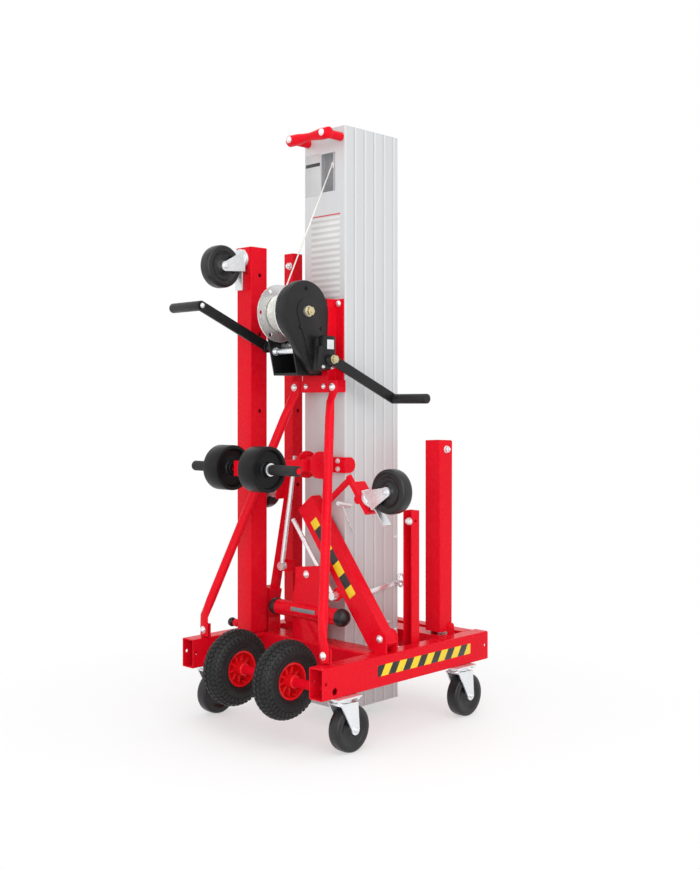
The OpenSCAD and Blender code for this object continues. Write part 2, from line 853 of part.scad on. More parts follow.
module drum() {
    color(zinc) {
        difference() {
            union() {
                xbar(frame_x0 - 8, cover_x1 + 10, drum_y, drum_z, shaft_d + 5);
                xbar(flange_x0, flange_x1, drum_y, drum_z, core_d);
                for (x = [flange_x0, flange_x1 - flange_t]) xbar(x, x + flange_t, drum_y, drum_z, flange_d);
            }
            for (i = [0 : 5]) translate([flange_x0 - 1, drum_y, drum_z]) rotate([i * 60, 0, 0])
                translate([0, flange_d / 2 - 14, 0]) rotate([0, 90, 0]) cylinder(d = 14, h = 100);
        }
        translate([0, drum_y, drum_z]) difference() {
            xplate(right_x1 + 4, right_x1 + 14) rotate(counter_dir) gear2d(gear_m, drum_teeth);
            xbar(right_x1 + 3, right_x1 + 15, 0, 0, shaft_d + 5);
        }
        xbar(cover_x1 + 1, cover_x1 + 13, drum_y, drum_z, 36);
    }
}

// Wire rope on the drum: plain inner layers and one wound outer layer
ring_count = 24;
lay_x0 = flange_x0 + flange_t + fit;
lay_x1 = flange_x1 - flange_t - fit;
wind_x0 = lay_x0 + rope_d / 2 + 1;
wind_pitch = (lay_x1 - rope_d / 2 - 1 - wind_x0) / rope_turns;
rope_rings = rope_turns * ring_count;
function wind_turn(i) = max(0, min(rope_rings, i)) * 360 / ring_count;
function wind_end(i) = i < 0 ? -rope_d : i > rope_rings ? rope_d : 0;
function wind_point(i) = let (a = wind_turn(i))
    [wind_x0 + wind_pitch * a / 360, wind_r * cos(a), wind_r * sin(a) + wind_end(i)];
function wind_ring(i) = let (a = wind_turn(i), c = wind_point(i))
    [for (k = [0 : 5]) c + rope_d / 2 * ([cos(k * 60), 0, 0] + sin(k * 60) * [0, cos(a), sin(a)])];
echo(rope_gap = wind_pitch - rope_d);

module wound_rope() {
    points = [for (i = [-1 : rope_rings + 1]) each wind_ring(i)];
    sides = [for (i = [0 : rope_rings + 1], k = [0 : 5]) let (a = i * 6 + k, b = i * 6 + (k + 1) % 6)
        each [[a, b + 6, b], [a, a + 6, b + 6]]];
    last = (rope_rings + 2) * 6;
    caps = [for (k = [1 : 4]) each [[0, k, k + 1], [last, last + k + 1, last + k]]];
    polyhedron(points, concat(sides, caps));
}

module drum_rope() {
    color("lightgray") translate([0, drum_y, drum_z]) {
        difference() {
            xbar(lay_x0, lay_x1, 0, 0, lay_d);
            xbar(lay_x0 - 1, lay_x1 + 1, 0, 0, core_d + 2 * fit);
        }
        wound_rope();
    }
}

// Taut rope from the front of the drum to the pulley in the mast head
rope_top = [rope_top_x, sheave_y - sheave_d / 2 - fit, sheave_z];
rope_clear = wind_r + rope_d + fit;
rope_low = [rope_exit_x, drum_y - rope_clear, drum_z + 19];

module wire_rope() {
    color("lightgray") rod(rope_low, rope_top, rope_d);
}

module countershaft() {
    color(zinc) {
        translate([0, counter_y, counter_z]) {
            xbar(-left_crank_x - hub_l - 4, right_x1 + 32, 0, 0, shaft_d);
            xplate(right_x1 + 2, right_x1 + 17) rotate(counter_dir + 180 + 180 / pinion_teeth) gear2d(gear_m, pinion_teeth);
            xplate(right_x1 + 20, right_x1 + 28) rotate(input_dir) gear2d(fine_m, second_teeth);
        }
    }
}

module input_shaft() {
    color(zinc) translate([0, input_y, input_z]) {
        xbar(right_x0 - 4, crank_x + hub_l + 4, 0, 0, shaft_d);
        xplate(right_x1 + 19, right_x1 + 30) rotate(input_dir + 180 + 180 / input_teeth) gear2d(fine_m, input_teeth);
    }
}

// Crank with its hub at the origin, bar along +Y and grip pin along +X
module crank() {
    end_x = crank_t + crank_r * sin(crank_splay);
    color(black) difference() {
        union() {
            xbar(0, hub_l, 0, 0, 40);
            rotate([0, 0, -crank_splay]) {
                translate([4, 0, -crank_w / 2]) cube([crank_t, crank_r, crank_w]);
                xbar(4, 4 + crank_t, crank_r, 0, crank_w);
            }
            xbar(end_x - 4, grip_x0 + grip_len, crank_r * cos(crank_splay), 0, grip_pin_d);
        }
        xbar(-1, hub_l + 1, 0, 0, shaft_d + 2 * fit);
    }
}

module crank_grip() {
    color(black) translate([grip_x0 + fit, crank_r * cos(crank_splay), 0]) rotate([0, 90, 0]) rotate_extrude() {
        r = grip_d / 2;
        inner = grip_pin_d / 2 + fit;
        translate([inner, 0]) square([r - inner, grip_len - 8]);
        translate([inner, 0]) square([r - inner - 4, grip_len]);
        translate([r - 4, grip_len - 8]) circle(4);
        translate([inner, grip_len - 8]) square([r - 4 - inner, 8]);
    }
}

module at_right_crank() {
    translate([crank_x, input_y, input_z]) rotate([-crank_drop, 0, 0]) children();
}

module at_left_crank() {
    mirror([1, 0, 0]) translate([left_crank_x, counter_y, counter_z]) rotate([180 - crank_drop, 0, 0]) children();
}

module left_crank() {
    at_left_crank() crank();
}

module right_crank() {
    at_right_crank() crank();
}

module left_grip() {
    at_left_crank() crank_grip();
}

module right_grip() {
    at_right_crank() crank_grip();
}

// Roller arm

module roller_clamp() {
    ear = section_d - 6;
    color(red) difference() {
        union() {
            block([-mast_w / 2 - clamp_t, mast_y - clamp_t, arm_z - clamp_h / 2],
                [mast_w / 2 + clamp_t, mast_y, arm_z + clamp_h / 2]);
            for (side = [-1, 1]) {
                translate([side * (mast_w + clamp_t) / 2, 0, 0]) xplate(-clamp_t / 2, clamp_t / 2) {
                    translate([mast_y - 2, arm_z - clamp_h / 2]) square([ear - clamp_h / 2 + 2, clamp_h]);
                    translate([mast_y + ear - clamp_h / 2, arm_z]) circle(clamp_h / 2);
                }
                translate([side * (arm_w / 2 + fit + 5), 0, 0]) xplate(-5, 5) {
                    translate([arm_y, arm_z]) circle(d = disc_d);
                    translate([arm_y, arm_z - clamp_h / 2]) square([mast_y - 2 - arm_y, clamp_h]);
                }
            }
        }
        xbar(-arm_w, arm_w, arm_y, arm_z, 16);
    }
}

module roller_arm() {
    axle_y = arm_y - arm_len;
    color(red) {
        difference() {
            union() {
                xbar(-arm_w / 2, arm_w / 2, arm_y, arm_z, 60);
                block([-20, axle_y, arm_z - 20], [20, arm_y, arm_z + 20]);
                block([-arm_w / 2, axle_y - 22, arm_z - 25], [arm_w / 2, axle_y + 25, arm_z + 25]);
            }
        }
        xbar(-arm_w / 2 - 13, arm_w / 2 + 13, arm_y, arm_z, 16 - 2 * fit);
        xbar(-roller_end, roller_end, axle_y, arm_z, roller_axle_d);
    }
}

module roller_grips() {
    axle_y = arm_y - arm_len;
    x0 = roller_x + roller_w + 8;
    color(black) for (side = [-1, 1]) mirror([side < 0 ? 1 : 0, 0, 0]) difference() {
        union() {
            xbar(x0, roller_end - 2, axle_y, arm_z, grip_d);
            xbar(x0 - 5, x0, axle_y, arm_z, grip_d + 8);
        }
        xbar(x0 - 10, roller_end + 1, axle_y, arm_z, roller_axle_d);
    }
}

module roller(side) {
    r = roller_d / 2;
    middle = roller_x + roller_w / 2;
    color(black) wheel_at(side * middle, arm_y - arm_len, arm_z) {
        translate([roller_axle_d / 2 + fit, -roller_w / 2 - 2]) square([10, roller_w + 4]);
        translate([roller_axle_d / 2 + fit, -14]) square([r - roller_axle_d / 2 - 10, 28]);
        difference() {
            translate([r - 13, -roller_w / 2]) square([13, roller_w]);
            for (e = [-1, 1]) translate([r, e * roller_w / 2]) rotate(45) square(4, center = true);
        }
    }
}

module left_roller() {
    roller(-1);
}

module right_roller() {
    roller(1);
}

// Outriggers

// Draws in the leg's own axes: first along the leg from its pivot, then outwards across it
module right_leg_axes() {
    translate([right_pivot.x, right_pivot.z]) rotate(right_lean) children();
}

// 2D point in the leg's axes: x is outwards, y is along the leg
module right_leg2d() {
    difference() {
        right_leg_axes() {
            translate([leg_in, -30]) square([leg_out - leg_in, right_leg_len + 30]);
            circle(26);
        }
        translate([-track, 0]) square([2 * track, deck + 2]);
        translate([right_pivot.x, right_pivot.z]) circle(d = bolt_d);
    }
}

// Point in space of a place on the right leg: along the leg, outwards, and depth
function on_right_leg(along, out, y) = [right_pivot.x - along * sin(right_lean) + out * cos(right_lean), y,
    right_pivot.z + along * cos(right_lean) + out * sin(right_lean)];

module right_outrigger() {
    mid = (leg_y0 + leg_y1) / 2;
    color(red) {
        difference() {
            yplate(leg_y0, leg_y1) right_leg2d();
            yplate(leg_y0 + 4, leg_y1 - 4) right_leg_axes()
                translate([leg_in + 4, 60]) square([leg_out - leg_in - 8, right_leg_len]);
        }
        yplate(leg_y0, leg_y0 + 6) right_leg_axes() difference() {
            union() {
                translate([right_tab[1], right_tab[0]]) circle(20);
                translate([right_tab[1], right_tab[0] - 20]) square([leg_in - right_tab[1] + 2, 40]);
            }
            translate([right_tab[1], right_tab[0]]) circle(d = 12);
        }
        union() {
            rod(on_right_leg(bar_along, leg_out - 1, mid), on_right_leg(bar_along, bar_perp, mid), bar_d);
            rod(on_right_leg(bar_along + bar_d / 2, bar_perp, mid), on_right_leg(bar_along - 80, bar_perp, mid), bar_d);
        }
        ybar(mid - 20, mid + 20, on_right_leg(bar_along - 84, bar_perp, mid).x,
            on_right_leg(bar_along - 84, bar_perp, mid).z, 30);
        translate(on_right_leg(right_caster_along, right_plate_perp, mid)) right_caster_turn()
            translate([0, 0, 8]) block([-34, -80, -8 - caster_plate_t], [34, 44, 0]);
    }
}

// Turns a caster so that its wheel points outwards from the right leg
module right_caster_turn() {
    rotate([0, -90 - right_lean, 0]) rotate([0, 0, 90]) children();
}

module at_right_caster() {
    translate(on_right_leg(right_caster_along, right_plate_perp, (leg_y0 + leg_y1) / 2)) right_caster_turn() children();
}

module right_outrigger_caster_fork() {
    at_right_caster() caster_fork(true);
}

module right_outrigger_caster_wheel() {
    at_right_caster() caster_wheel();
}

module right_stay() {
    foot = on_right_leg(right_tab[0], right_tab[1], stay_y);
    head = on_right_leg(540, right_tab[1] - 6, stay_y);
    color(zinc) {
        rod(foot, head, stay_d);
        ybar(stay_y - 10, leg_y0 - fit, foot.x, foot.z, 28);
        ybar(leg_y0 - fit - 1, leg_y0 + 8, foot.x, foot.z, 12 - 2 * fit);
    }
}

function on_left_leg(along, out, y) = [left_pivot.x + along * sin(left_lean) - out * cos(left_lean), y,
    left_pivot.z + along * cos(left_lean) + out * sin(left_lean)];

module left_outrigger() {
    mid = (leg_y0 + leg_y1) / 2;
    half = left_link_w / 2;
    color(red) {
        difference() {
            union() {
                yplate(leg_y0, leg_y1) translate([left_pivot.x, left_pivot.z]) rotate(-left_lean) {
                    circle(25);
                    translate([-25, 0]) square([50, 90]);
                }
                yplate(left_link_y0, leg_y1) translate([left_pivot.x, left_pivot.z]) rotate(-left_lean)
                    translate([-half, 80]) square([2 * half, left_len - 80]);
                block([left_tab_x - 60, left_link_y0, left_tab_z - 40], [left_tab_x + 16, left_link_y0 + 10, left_tab_z]);
                block([left_tab_x - 16, leg_y0 - 2, left_tab_z - 40], [left_tab_x + 16, left_link_y0 + 10, left_tab_z - 8]);
            }
            ybar(leg_y0 - 1, leg_y1 + 1, left_pivot.x, left_pivot.z, bolt_d);
            ybar(leg_y0 - 3, leg_y0 + 20, left_tab_x, left_tab_z - 20, 12 + 2 * fit);
        }
        translate(on_left_leg(left_caster_along, half, mid)) left_caster_turn()
            block([-34, -46, -caster_plate_t], [34, 46, 2]);
    }
}

// Turns a caster so that its wheel points outwards from the left leg
module left_caster_turn() {
    rotate([0, 90 + left_lean, 0]) rotate([0, 0, -90]) children();
}

module at_left_caster() {
    translate(on_left_leg(left_caster_along, left_link_w / 2, (leg_y0 + leg_y1) / 2)) left_caster_turn() children();
}

module left_outrigger_caster_fork() {
    at_left_caster() caster_fork();
}

module left_outrigger_caster_wheel() {
    at_left_caster() caster_wheel();
}

module left_stay() {
    foot = [left_tab_x, stay_y, left_tab_z - 20];
    head = [-80, stay_y, arm_z + 28];
    color(zinc) {
        rod(foot, head, stay_d);
        ybar(stay_y - 10, leg_y0 - 2 - fit, foot.x, foot.z, 30);
        ybar(leg_y0 - 3 - fit, leg_y0 + 16, foot.x, foot.z, 12);
    }
}

// Stowed legs

module stowed_leg() {
    x1 = stow_x0 + stow_w;
    mid = stow_x0 + stow_w / 2;
    y1 = stow_y0 + stow_w;
    color(red) {
        difference() {
            upright_tube([stow_x0, stow_y0, stow_foot], [x1, y1, stow_top], stow_wall);
            for (z = [stow_top - 100, stow_top - 310, stow_top - 585, stow_top - 860])
                xbar(mid, x1 + 1, stow_y0 + stow_w * 0.55, z, 14);
        }
        block([stow_x0, stow_y0, stow_top - 4], [x1, y1, stow_top]);
        block([mid - 36, stow_y0 - caster_plate_t, stow_caster_z - 52], [mid + 36, stow_y0, stow_caster_z + 42]);
        xbar(stow_x0 - 34, stow_x0, stow_y0 + stow_w * 0.4, stow_foot + 16, 16);
        xbar(stow_x0 - 46, stow_x0 - 22, stow_y0 + stow_w * 0.4, stow_foot + 16, 28);
    }
}

module at_leg_caster() {
    translate([stow_x0 + stow_w / 2, stow_y0, stow_caster_z]) rotate([-90, 0, 0]) children();
}

module leg_caster_fork() {
    at_leg_caster() caster_fork(true);
}

module leg_caster_wheel() {
    at_leg_caster() caster_wheel();
}

module stowed_bar() {
    x1 = stow_x0 + bar_w;
    mid = stow_x0 + bar_w / 2;
    color(red) {
        difference() {
            upright_tube([stow_x0, bar_y0, stow_foot], [x1, bar_y0 + bar_w, stow_top], bar_wall);
            for (z = [stow_top - 585, stow_top - 860]) xbar(mid, x1 + 1, bar_y0 + bar_w / 2, z, 14);
        }
        block([stow_x0, bar_y0, stow_top - 4], [x1, bar_y0 + bar_w, stow_top]);
        ybar(bar_y0 - 9, bar_y0, mid, stow_top - 42, 18);
    }
}

// Empty cradle of a leg, open to the front
module cradle_channel() {
    x0 = rail_x0 - cradle_w;
    color(red) difference() {
        block([x0, cradle_y0, rail_z + 6], [rail_x0, cradle_y0 + cradle_d, cradle_top]);
        block([x0 + cradle_t, cradle_y0 - 1, rail_z], [rail_x0 - cradle_t, cradle_y0 + cradle_d - cradle_t, cradle_top + 1]);
        xbar(x0 - 1, rail_x0 + 1, cradle_y0 + cradle_d / 2, cradle_top - 36, bolt_d);
    }
}

left_rail();
right_rail();
cross_members();
frame_brackets();
buffer_caps();
frame_hardware();
transport_axle();
mast_section_1();
mast_section_2();
mast_section_3();
mast_section_4();
mast_section_5();
carriage();
left_fork();
right_fork();
top_handle();
top_sheave();
wire_rope();
winch_bracket();
braces();
winch_frame();
gear_cover();
drum();
drum_rope();
countershaft();
input_shaft();
left_crank();
right_crank();
left_grip();
right_grip();
roller_clamp();
roller_arm();
roller_grips();
left_roller();
right_roller();
right_outrigger();
right_stay();
left_outrigger();
left_stay();
stowed_leg();
stowed_bar();
cradle_channel();
left_tyre();
left_rim();
right_tyre();
right_rim();
front_left_caster_fork();
front_left_caster_wheel();
front_right_caster_fork();
front_right_caster_wheel();
rear_left_caster_fork();
rear_left_caster_wheel();
rear_right_caster_fork();
rear_right_caster_wheel();
leg_caster_fork();
leg_caster_wheel();
right_outrigger_caster_fork();
right_outrigger_caster_wheel();
left_outrigger_caster_fork();
left_outrigger_caster_wheel();
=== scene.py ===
# %% [markdown]
# # A material hoist, folded for transport
# The real object is a hand-cranked mast lift: a red steel base on casters, a mast of five nested
# aluminium sections, a black hand winch, and legs and forks that fold up against the mast.
# The CAD frame already holds every size and every joint. This lesson dresses that frame: it rounds
# the tubes, builds the wheels, bolts, winch and rope as real meshes, and mixes the finishes.

import json
import math

import bmesh
import bpy
from mathutils import Matrix, Vector

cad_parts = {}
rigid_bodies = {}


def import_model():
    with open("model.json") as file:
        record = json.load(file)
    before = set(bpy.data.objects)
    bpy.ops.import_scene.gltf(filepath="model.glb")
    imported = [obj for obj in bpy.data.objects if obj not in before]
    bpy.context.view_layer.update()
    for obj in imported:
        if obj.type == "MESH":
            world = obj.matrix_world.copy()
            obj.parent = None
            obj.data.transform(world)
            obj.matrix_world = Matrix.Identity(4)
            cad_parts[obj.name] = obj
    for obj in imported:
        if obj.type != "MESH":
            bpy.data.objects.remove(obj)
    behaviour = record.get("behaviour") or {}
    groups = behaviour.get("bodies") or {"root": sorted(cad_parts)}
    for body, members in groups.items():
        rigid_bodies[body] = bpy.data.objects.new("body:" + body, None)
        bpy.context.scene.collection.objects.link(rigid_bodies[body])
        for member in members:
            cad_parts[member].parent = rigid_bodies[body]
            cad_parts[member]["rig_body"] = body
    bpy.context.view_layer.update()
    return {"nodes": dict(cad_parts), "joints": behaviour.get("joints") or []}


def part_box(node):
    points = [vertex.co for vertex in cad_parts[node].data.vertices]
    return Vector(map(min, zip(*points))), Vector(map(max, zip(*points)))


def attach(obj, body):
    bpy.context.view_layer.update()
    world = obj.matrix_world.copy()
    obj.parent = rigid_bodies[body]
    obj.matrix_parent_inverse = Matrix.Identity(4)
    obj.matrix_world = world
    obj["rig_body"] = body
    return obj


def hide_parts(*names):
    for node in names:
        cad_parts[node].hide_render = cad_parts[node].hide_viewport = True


for spare in list(bpy.data.objects):
    bpy.data.objects.remove(spare)
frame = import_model()
MM = 0.001
JOINTS = {joint["name"]: joint for joint in frame["joints"]}

# %% [markdown]
# ## The camera
# A photograph's camera can be copied once its height, heading and focal length are known. Here the
# camera is level, so upright edges stay upright, and the picture is shifted a little instead of tilted.

# %% Place the camera
IMAGE_W = 700
SENSOR_MM = 36
FOCAL_PX = 1126
HEADING = math.radians(44.03)
HORIZON_UP_PX = 28.6
CAMERA_AT = (2.819, -2.806, 1.098)

eye = bpy.data.cameras.new("eye")
eye.sensor_fit = "HORIZONTAL"
eye.sensor_width = SENSOR_MM
eye.lens = SENSOR_MM * FOCAL_PX / IMAGE_W
eye.shift_y = -HORIZON_UP_PX / IMAGE_W
eye.clip_end = 60
camera = bpy.data.objects.new("camera", eye)
camera.location = CAMERA_AT
camera.rotation_euler = (math.pi / 2, 0, HEADING)
bpy.context.scene.collection.objects.link(camera)
bpy.context.scene.camera = camera
print("lens", round(eye.lens, 2))

# %% [markdown]
# ## Shared shader effects
# Several finishes need the same small faults: cloudy colour, a pebbled paint skin, brushed lines and
# dust; the mast's line group also paints shade and highlight lines at its seams. Each effect is a node group with named
# sockets, so one recipe serves many materials.


# %% Node helpers
def new_group(name, inputs, outputs):
    group = bpy.data.node_groups.new(name, "ShaderNodeTree")
    for kind, label, value in inputs:
        group.interface.new_socket(label, in_out="INPUT", socket_type=kind).default_value = value
    for kind, label in outputs:
        group.interface.new_socket(label, in_out="OUTPUT", socket_type=kind)
    return group, group.nodes.new("NodeGroupInput"), group.nodes.new("NodeGroupOutput")


def node(tree, kind, **values):
    made = tree.nodes.new(kind)
    for key, value in values.items():
        if key in made.inputs:
            made.inputs[key].default_value = value
        else:
            setattr(made, key, value)
    return made


def noise(tree, coordinate, scale, detail=3.0, rough=0.55, stretch=None):
    if stretch:
        mapping = node(tree, "ShaderNodeMapping", Scale=stretch)
        tree.links.new(coordinate, mapping.inputs["Vector"])
        coordinate = mapping.outputs["Vector"]
    cloud = node(tree, "ShaderNodeTexNoise", Detail=detail, Roughness=rough)
    tree.links.new(coordinate, cloud.inputs["Vector"])
    if isinstance(scale, (int, float)):
        cloud.inputs["Scale"].default_value = scale
    else:
        tree.links.new(scale, cloud.inputs["Scale"])
    return cloud.outputs["Fac"]


def span(tree, value, low, high, to_low=0.0, to_high=1.0):
    ramp = node(tree, "ShaderNodeMapRange", clamp=True)
    for label, number in (("From Min", low), ("From Max", high), ("To Min", to_low), ("To Max", to_high)):
        if isinstance(number, (int, float)):
            ramp.inputs[label].default_value = number
        else:
            tree.links.new(number, ramp.inputs[label])
    tree.links.new(value, ramp.inputs["Value"])
    return ramp.outputs["Result"]


def blend_colour(tree, factor, first, second, mode="MIX"):
    mix = node(tree, "ShaderNodeMix", data_type="RGBA", blend_type=mode)
    for socket, value in ((mix.inputs[0], factor), (mix.inputs[6], first), (mix.inputs[7], second)):
        if isinstance(value, (int, float, tuple)):
            socket.default_value = value
        else:
            tree.links.new(value, socket)
    return mix.outputs[2]


COLOUR, NUMBER = "NodeSocketColor", "NodeSocketFloat"
DUST_COLOUR = (0.62, 0.6, 0.56, 1)


# %% Cloudy colour and dust
def make_weather():
    group, given, out = new_group(
        "weather",
        [(COLOUR, "Colour", (0.5, 0.5, 0.5, 1)), (NUMBER, "Cloud", 0.1), (NUMBER, "Dust", 0.1), (NUMBER, "Gloss", 0.3)],
        [(COLOUR, "Colour"), (NUMBER, "Roughness")],
    )
    place = node(group, "ShaderNodeTexCoord").outputs["Object"]
    cloud = noise(group, place, scale=7.0, detail=4.0)
    fine = noise(group, place, scale=46.0, detail=5.0, rough=0.6)
    shade = node(group, "ShaderNodeHueSaturation")
    group.links.new(given.outputs["Colour"], shade.inputs["Color"])
    lift = node(group, "ShaderNodeMath", operation="MULTIPLY_ADD")
    group.links.new(span(group, cloud, 0.3, 0.7, -1.0, 1.0), lift.inputs[0])
    group.links.new(given.outputs["Cloud"], lift.inputs[1])
    lift.inputs[2].default_value = 1.0
    group.links.new(lift.outputs[0], shade.inputs["Value"])
    film = node(group, "ShaderNodeMath", operation="MULTIPLY")
    group.links.new(span(group, fine, 0.52, 0.78), film.inputs[0])
    group.links.new(given.outputs["Dust"], film.inputs[1])
    dusty = blend_colour(group, film.outputs[0], shade.outputs["Color"], DUST_COLOUR)
    group.links.new(dusty, out.inputs["Colour"])
    gloss = node(group, "ShaderNodeMath", operation="MULTIPLY_ADD")
    group.links.new(span(group, fine, 0.3, 0.75, -0.5, 1.0), gloss.inputs[0])
    gloss.inputs[1].default_value = 0.12
    group.links.new(given.outputs["Gloss"], gloss.inputs[2])
    group.links.new(gloss.outputs[0], out.inputs["Roughness"])
    return group


# %% Pebbled skin of sprayed paint and moulded plastic
def make_pebble():
    group, given, out = new_group("pebble", [(NUMBER, "Scale", 300.0)], [(NUMBER, "Height")])
    place = node(group, "ShaderNodeTexCoord").outputs["Object"]
    group.links.new(noise(group, place, given.outputs["Scale"], detail=2.0), out.inputs["Height"])
    return group


# %% Drawn lines along the mast, with a painted shade line and a painted highlight line at each section's seam
SECTIONS = 5
MAST_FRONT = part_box("mast_section_1")[0].y
SECTION_DEPTH = (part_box(f"mast_section_{SECTIONS}")[0].y - MAST_FRONT) / (SECTIONS - 1)
SCRATCH, BRIGHT = (0.42, 0.43, 0.45, 1), (0.95, 0.96, 0.97, 1)
# Colours of the painted shade line before each seam and the painted highlight line after it
SEAM_PAINTED_SHADE, SEAM_PAINTED_HIGHLIGHT = (0.30, 0.31, 0.33, 1), (0.92, 0.93, 0.95, 1)


def seam_line(tree, cycle, centre, half_width, strength):
    offset = node(tree, "ShaderNodeMath", operation="SUBTRACT")
    tree.links.new(cycle, offset.inputs[0])
    offset.inputs[1].default_value = centre
    distance = node(tree, "ShaderNodeMath", operation="ABSOLUTE")
    tree.links.new(offset.outputs[0], distance.inputs[0])
    return span(tree, distance.outputs[0], half_width * 0.6, half_width, strength, 0.0)


def make_lines_and_painted_seams():
    group, given, out = new_group(
        "lines_and_painted_seams", [(COLOUR, "Colour", (0.8, 0.8, 0.8, 1)), (NUMBER, "Gloss", 0.35)],
        [(COLOUR, "Colour"), (NUMBER, "Roughness"), (NUMBER, "Height")],
    )
    place = node(group, "ShaderNodeTexCoord").outputs["Object"]
    lines = noise(group, place, scale=320.0, detail=2.0, rough=0.5, stretch=(1.0, 1.0, 0.006))
    broad = noise(group, place, scale=26.0, detail=2.0, rough=0.5, stretch=(1.0, 1.0, 0.03))
    dark = blend_colour(group, span(group, lines, 0.35, 0.7, 0.0, 0.05), given.outputs["Colour"], SCRATCH)
    tint = blend_colour(group, span(group, broad, 0.35, 0.75, 0.0, 0.06), dark, BRIGHT)
    split = node(group, "ShaderNodeSeparateXYZ")
    group.links.new(place, split.inputs[0])
    cycle = node(group, "ShaderNodeMath", operation="FRACT")
    count = SECTIONS + 1
    mast_back = MAST_FRONT + count * SECTION_DEPTH
    group.links.new(span(group, split.outputs["Y"], MAST_FRONT, mast_back, 0, count), cycle.inputs[0])
    # Painted shade just before each seam, standing in for the gap's shade, and a painted highlight just after it,
    # standing in for the lit edge of the next section
    shadow = seam_line(group, cycle.outputs[0], centre=0.91, half_width=0.05, strength=0.42)
    glint = seam_line(group, cycle.outputs[0], centre=0.10, half_width=0.07, strength=0.24)
    shaded = blend_colour(group, shadow, tint, SEAM_PAINTED_SHADE)
    seamed = blend_colour(group, glint, shaded, SEAM_PAINTED_HIGHLIGHT)
    group.links.new(seamed, out.inputs["Colour"])
    gloss = node(group, "ShaderNodeMath", operation="MULTIPLY_ADD")
    group.links.new(span(group, lines, 0.3, 0.7, -1.0, 1.0), gloss.inputs[0])
    gloss.inputs[1].default_value = 0.04
    group.links.new(given.outputs["Gloss"], gloss.inputs[2])
    group.links.new(gloss.outputs[0], out.inputs["Roughness"])
    group.links.new(lines, out.inputs["Height"])
    return group


WEATHER, PEBBLE, LINES_AND_PAINTED_SEAMS = make_weather(), make_pebble(), make_lines_and_painted_seams()
print("groups", [group.name for group in (WEATHER, PEBBLE, LINES_AND_PAINTED_SEAMS)])

# %% [markdown]
# ## Finishes
# Red enamel is sprayed over steel: a clear gloss, a faint pebble, a cloud in the colour. Zinc plating is
# paler and bluish, with a soft shine. Rubber is nearly black and dull, and gathers pale dust. One function
# mixes them all, so two finishes differ only in their values and are easy to compare.


# %% Paints, plating and plastics
def place_group(tree, group, **values):
    made = tree.nodes.new("ShaderNodeGroup")
    made.node_tree = group
    for key, value in values.items():
        made.inputs[key].default_value = value
    return made


def finish(name, colour, gloss, metal=0.0, cloud=0.08, dust=0.05, pebble=320.0, depth=0.05, coat=0.0, shine=0.5):
    material = bpy.data.materials.new(name)
    material.use_nodes = True
    material.diffuse_color = (*colour, 1)
    tree = material.node_tree
    skin = tree.nodes["Principled BSDF"]
    weather = place_group(tree, WEATHER, Colour=(*colour, 1), Cloud=cloud, Dust=dust, Gloss=gloss)
    tree.links.new(weather.outputs["Colour"], skin.inputs["Base Color"])
    tree.links.new(weather.outputs["Roughness"], skin.inputs["Roughness"])
    skin.inputs["Metallic"].default_value = metal
    skin.inputs["Coat Weight"].default_value = coat
    skin.inputs["Specular IOR Level"].default_value = shine
    skin.inputs["Coat Roughness"].default_value = 0.12
    bumps = place_group(tree, PEBBLE, Scale=pebble)
    bump = node(tree, "ShaderNodeBump", Strength=depth, Distance=0.0006)
    tree.links.new(bumps.outputs["Height"], bump.inputs["Height"])
    tree.links.new(bump.outputs["Normal"], skin.inputs["Normal"])
    return material


RED = finish(
    "red_enamel", (0.72, 0.004, 0.016),
    gloss=0.26, cloud=0.03, dust=0.008, pebble=210, depth=0.05, coat=0.02, shine=0.08,
)
BLACK = finish(
    "black_enamel", (0.009, 0.009, 0.010),
    gloss=0.36, cloud=0.1, dust=0.008, pebble=420, depth=0.12, coat=0.04, shine=0.28,
)
ZINC = finish(
    "zinc_plating", (0.80, 0.82, 0.84),
    gloss=0.27, metal=0.75, cloud=0.06, dust=0.02, pebble=520, depth=0.04,
)
STEEL = finish(
    "turned_steel", (0.74, 0.75, 0.76),
    gloss=0.28, metal=0.8, cloud=0.1, dust=0.04, pebble=700, depth=0.05,
)
YELLOW_ZINC = finish(
    "yellow_zinc", (0.64, 0.56, 0.34),
    gloss=0.3, metal=0.85, cloud=0.18, dust=0.03, pebble=520, depth=0.05,
)
RUBBER = finish(
    "wheel_rubber", (0.010, 0.010, 0.011),
    gloss=0.32, cloud=0.15, dust=0.012, pebble=640, depth=0.1, shine=0.42,
)
ROLLER = finish(
    "roller_plastic", (0.007, 0.007, 0.008),
    gloss=0.34, cloud=0.15, dust=0.008, pebble=640, depth=0.08, shine=0.16,
)
TYRE = finish(
    "tyre_rubber", (0.013, 0.013, 0.014),
    gloss=0.5, cloud=0.2, dust=0.03, pebble=700, depth=0.2, shine=0.3,
)
GRIP = finish(
    "grip_plastic", (0.013, 0.013, 0.014),
    gloss=0.42, cloud=0.12, dust=0.015, pebble=900, depth=0.2, shine=0.3,
)
RIM = finish(
    "rim_plastic", (0.76, 0.006, 0.012),
    gloss=0.3, cloud=0.04, dust=0.015, pebble=500, depth=0.06, shine=0.25,
)
WIRE = finish(
    "rope_wire", (0.70, 0.69, 0.64),
    gloss=0.36, metal=0.55, cloud=0.16, dust=0.03, pebble=900, depth=0.1,
)


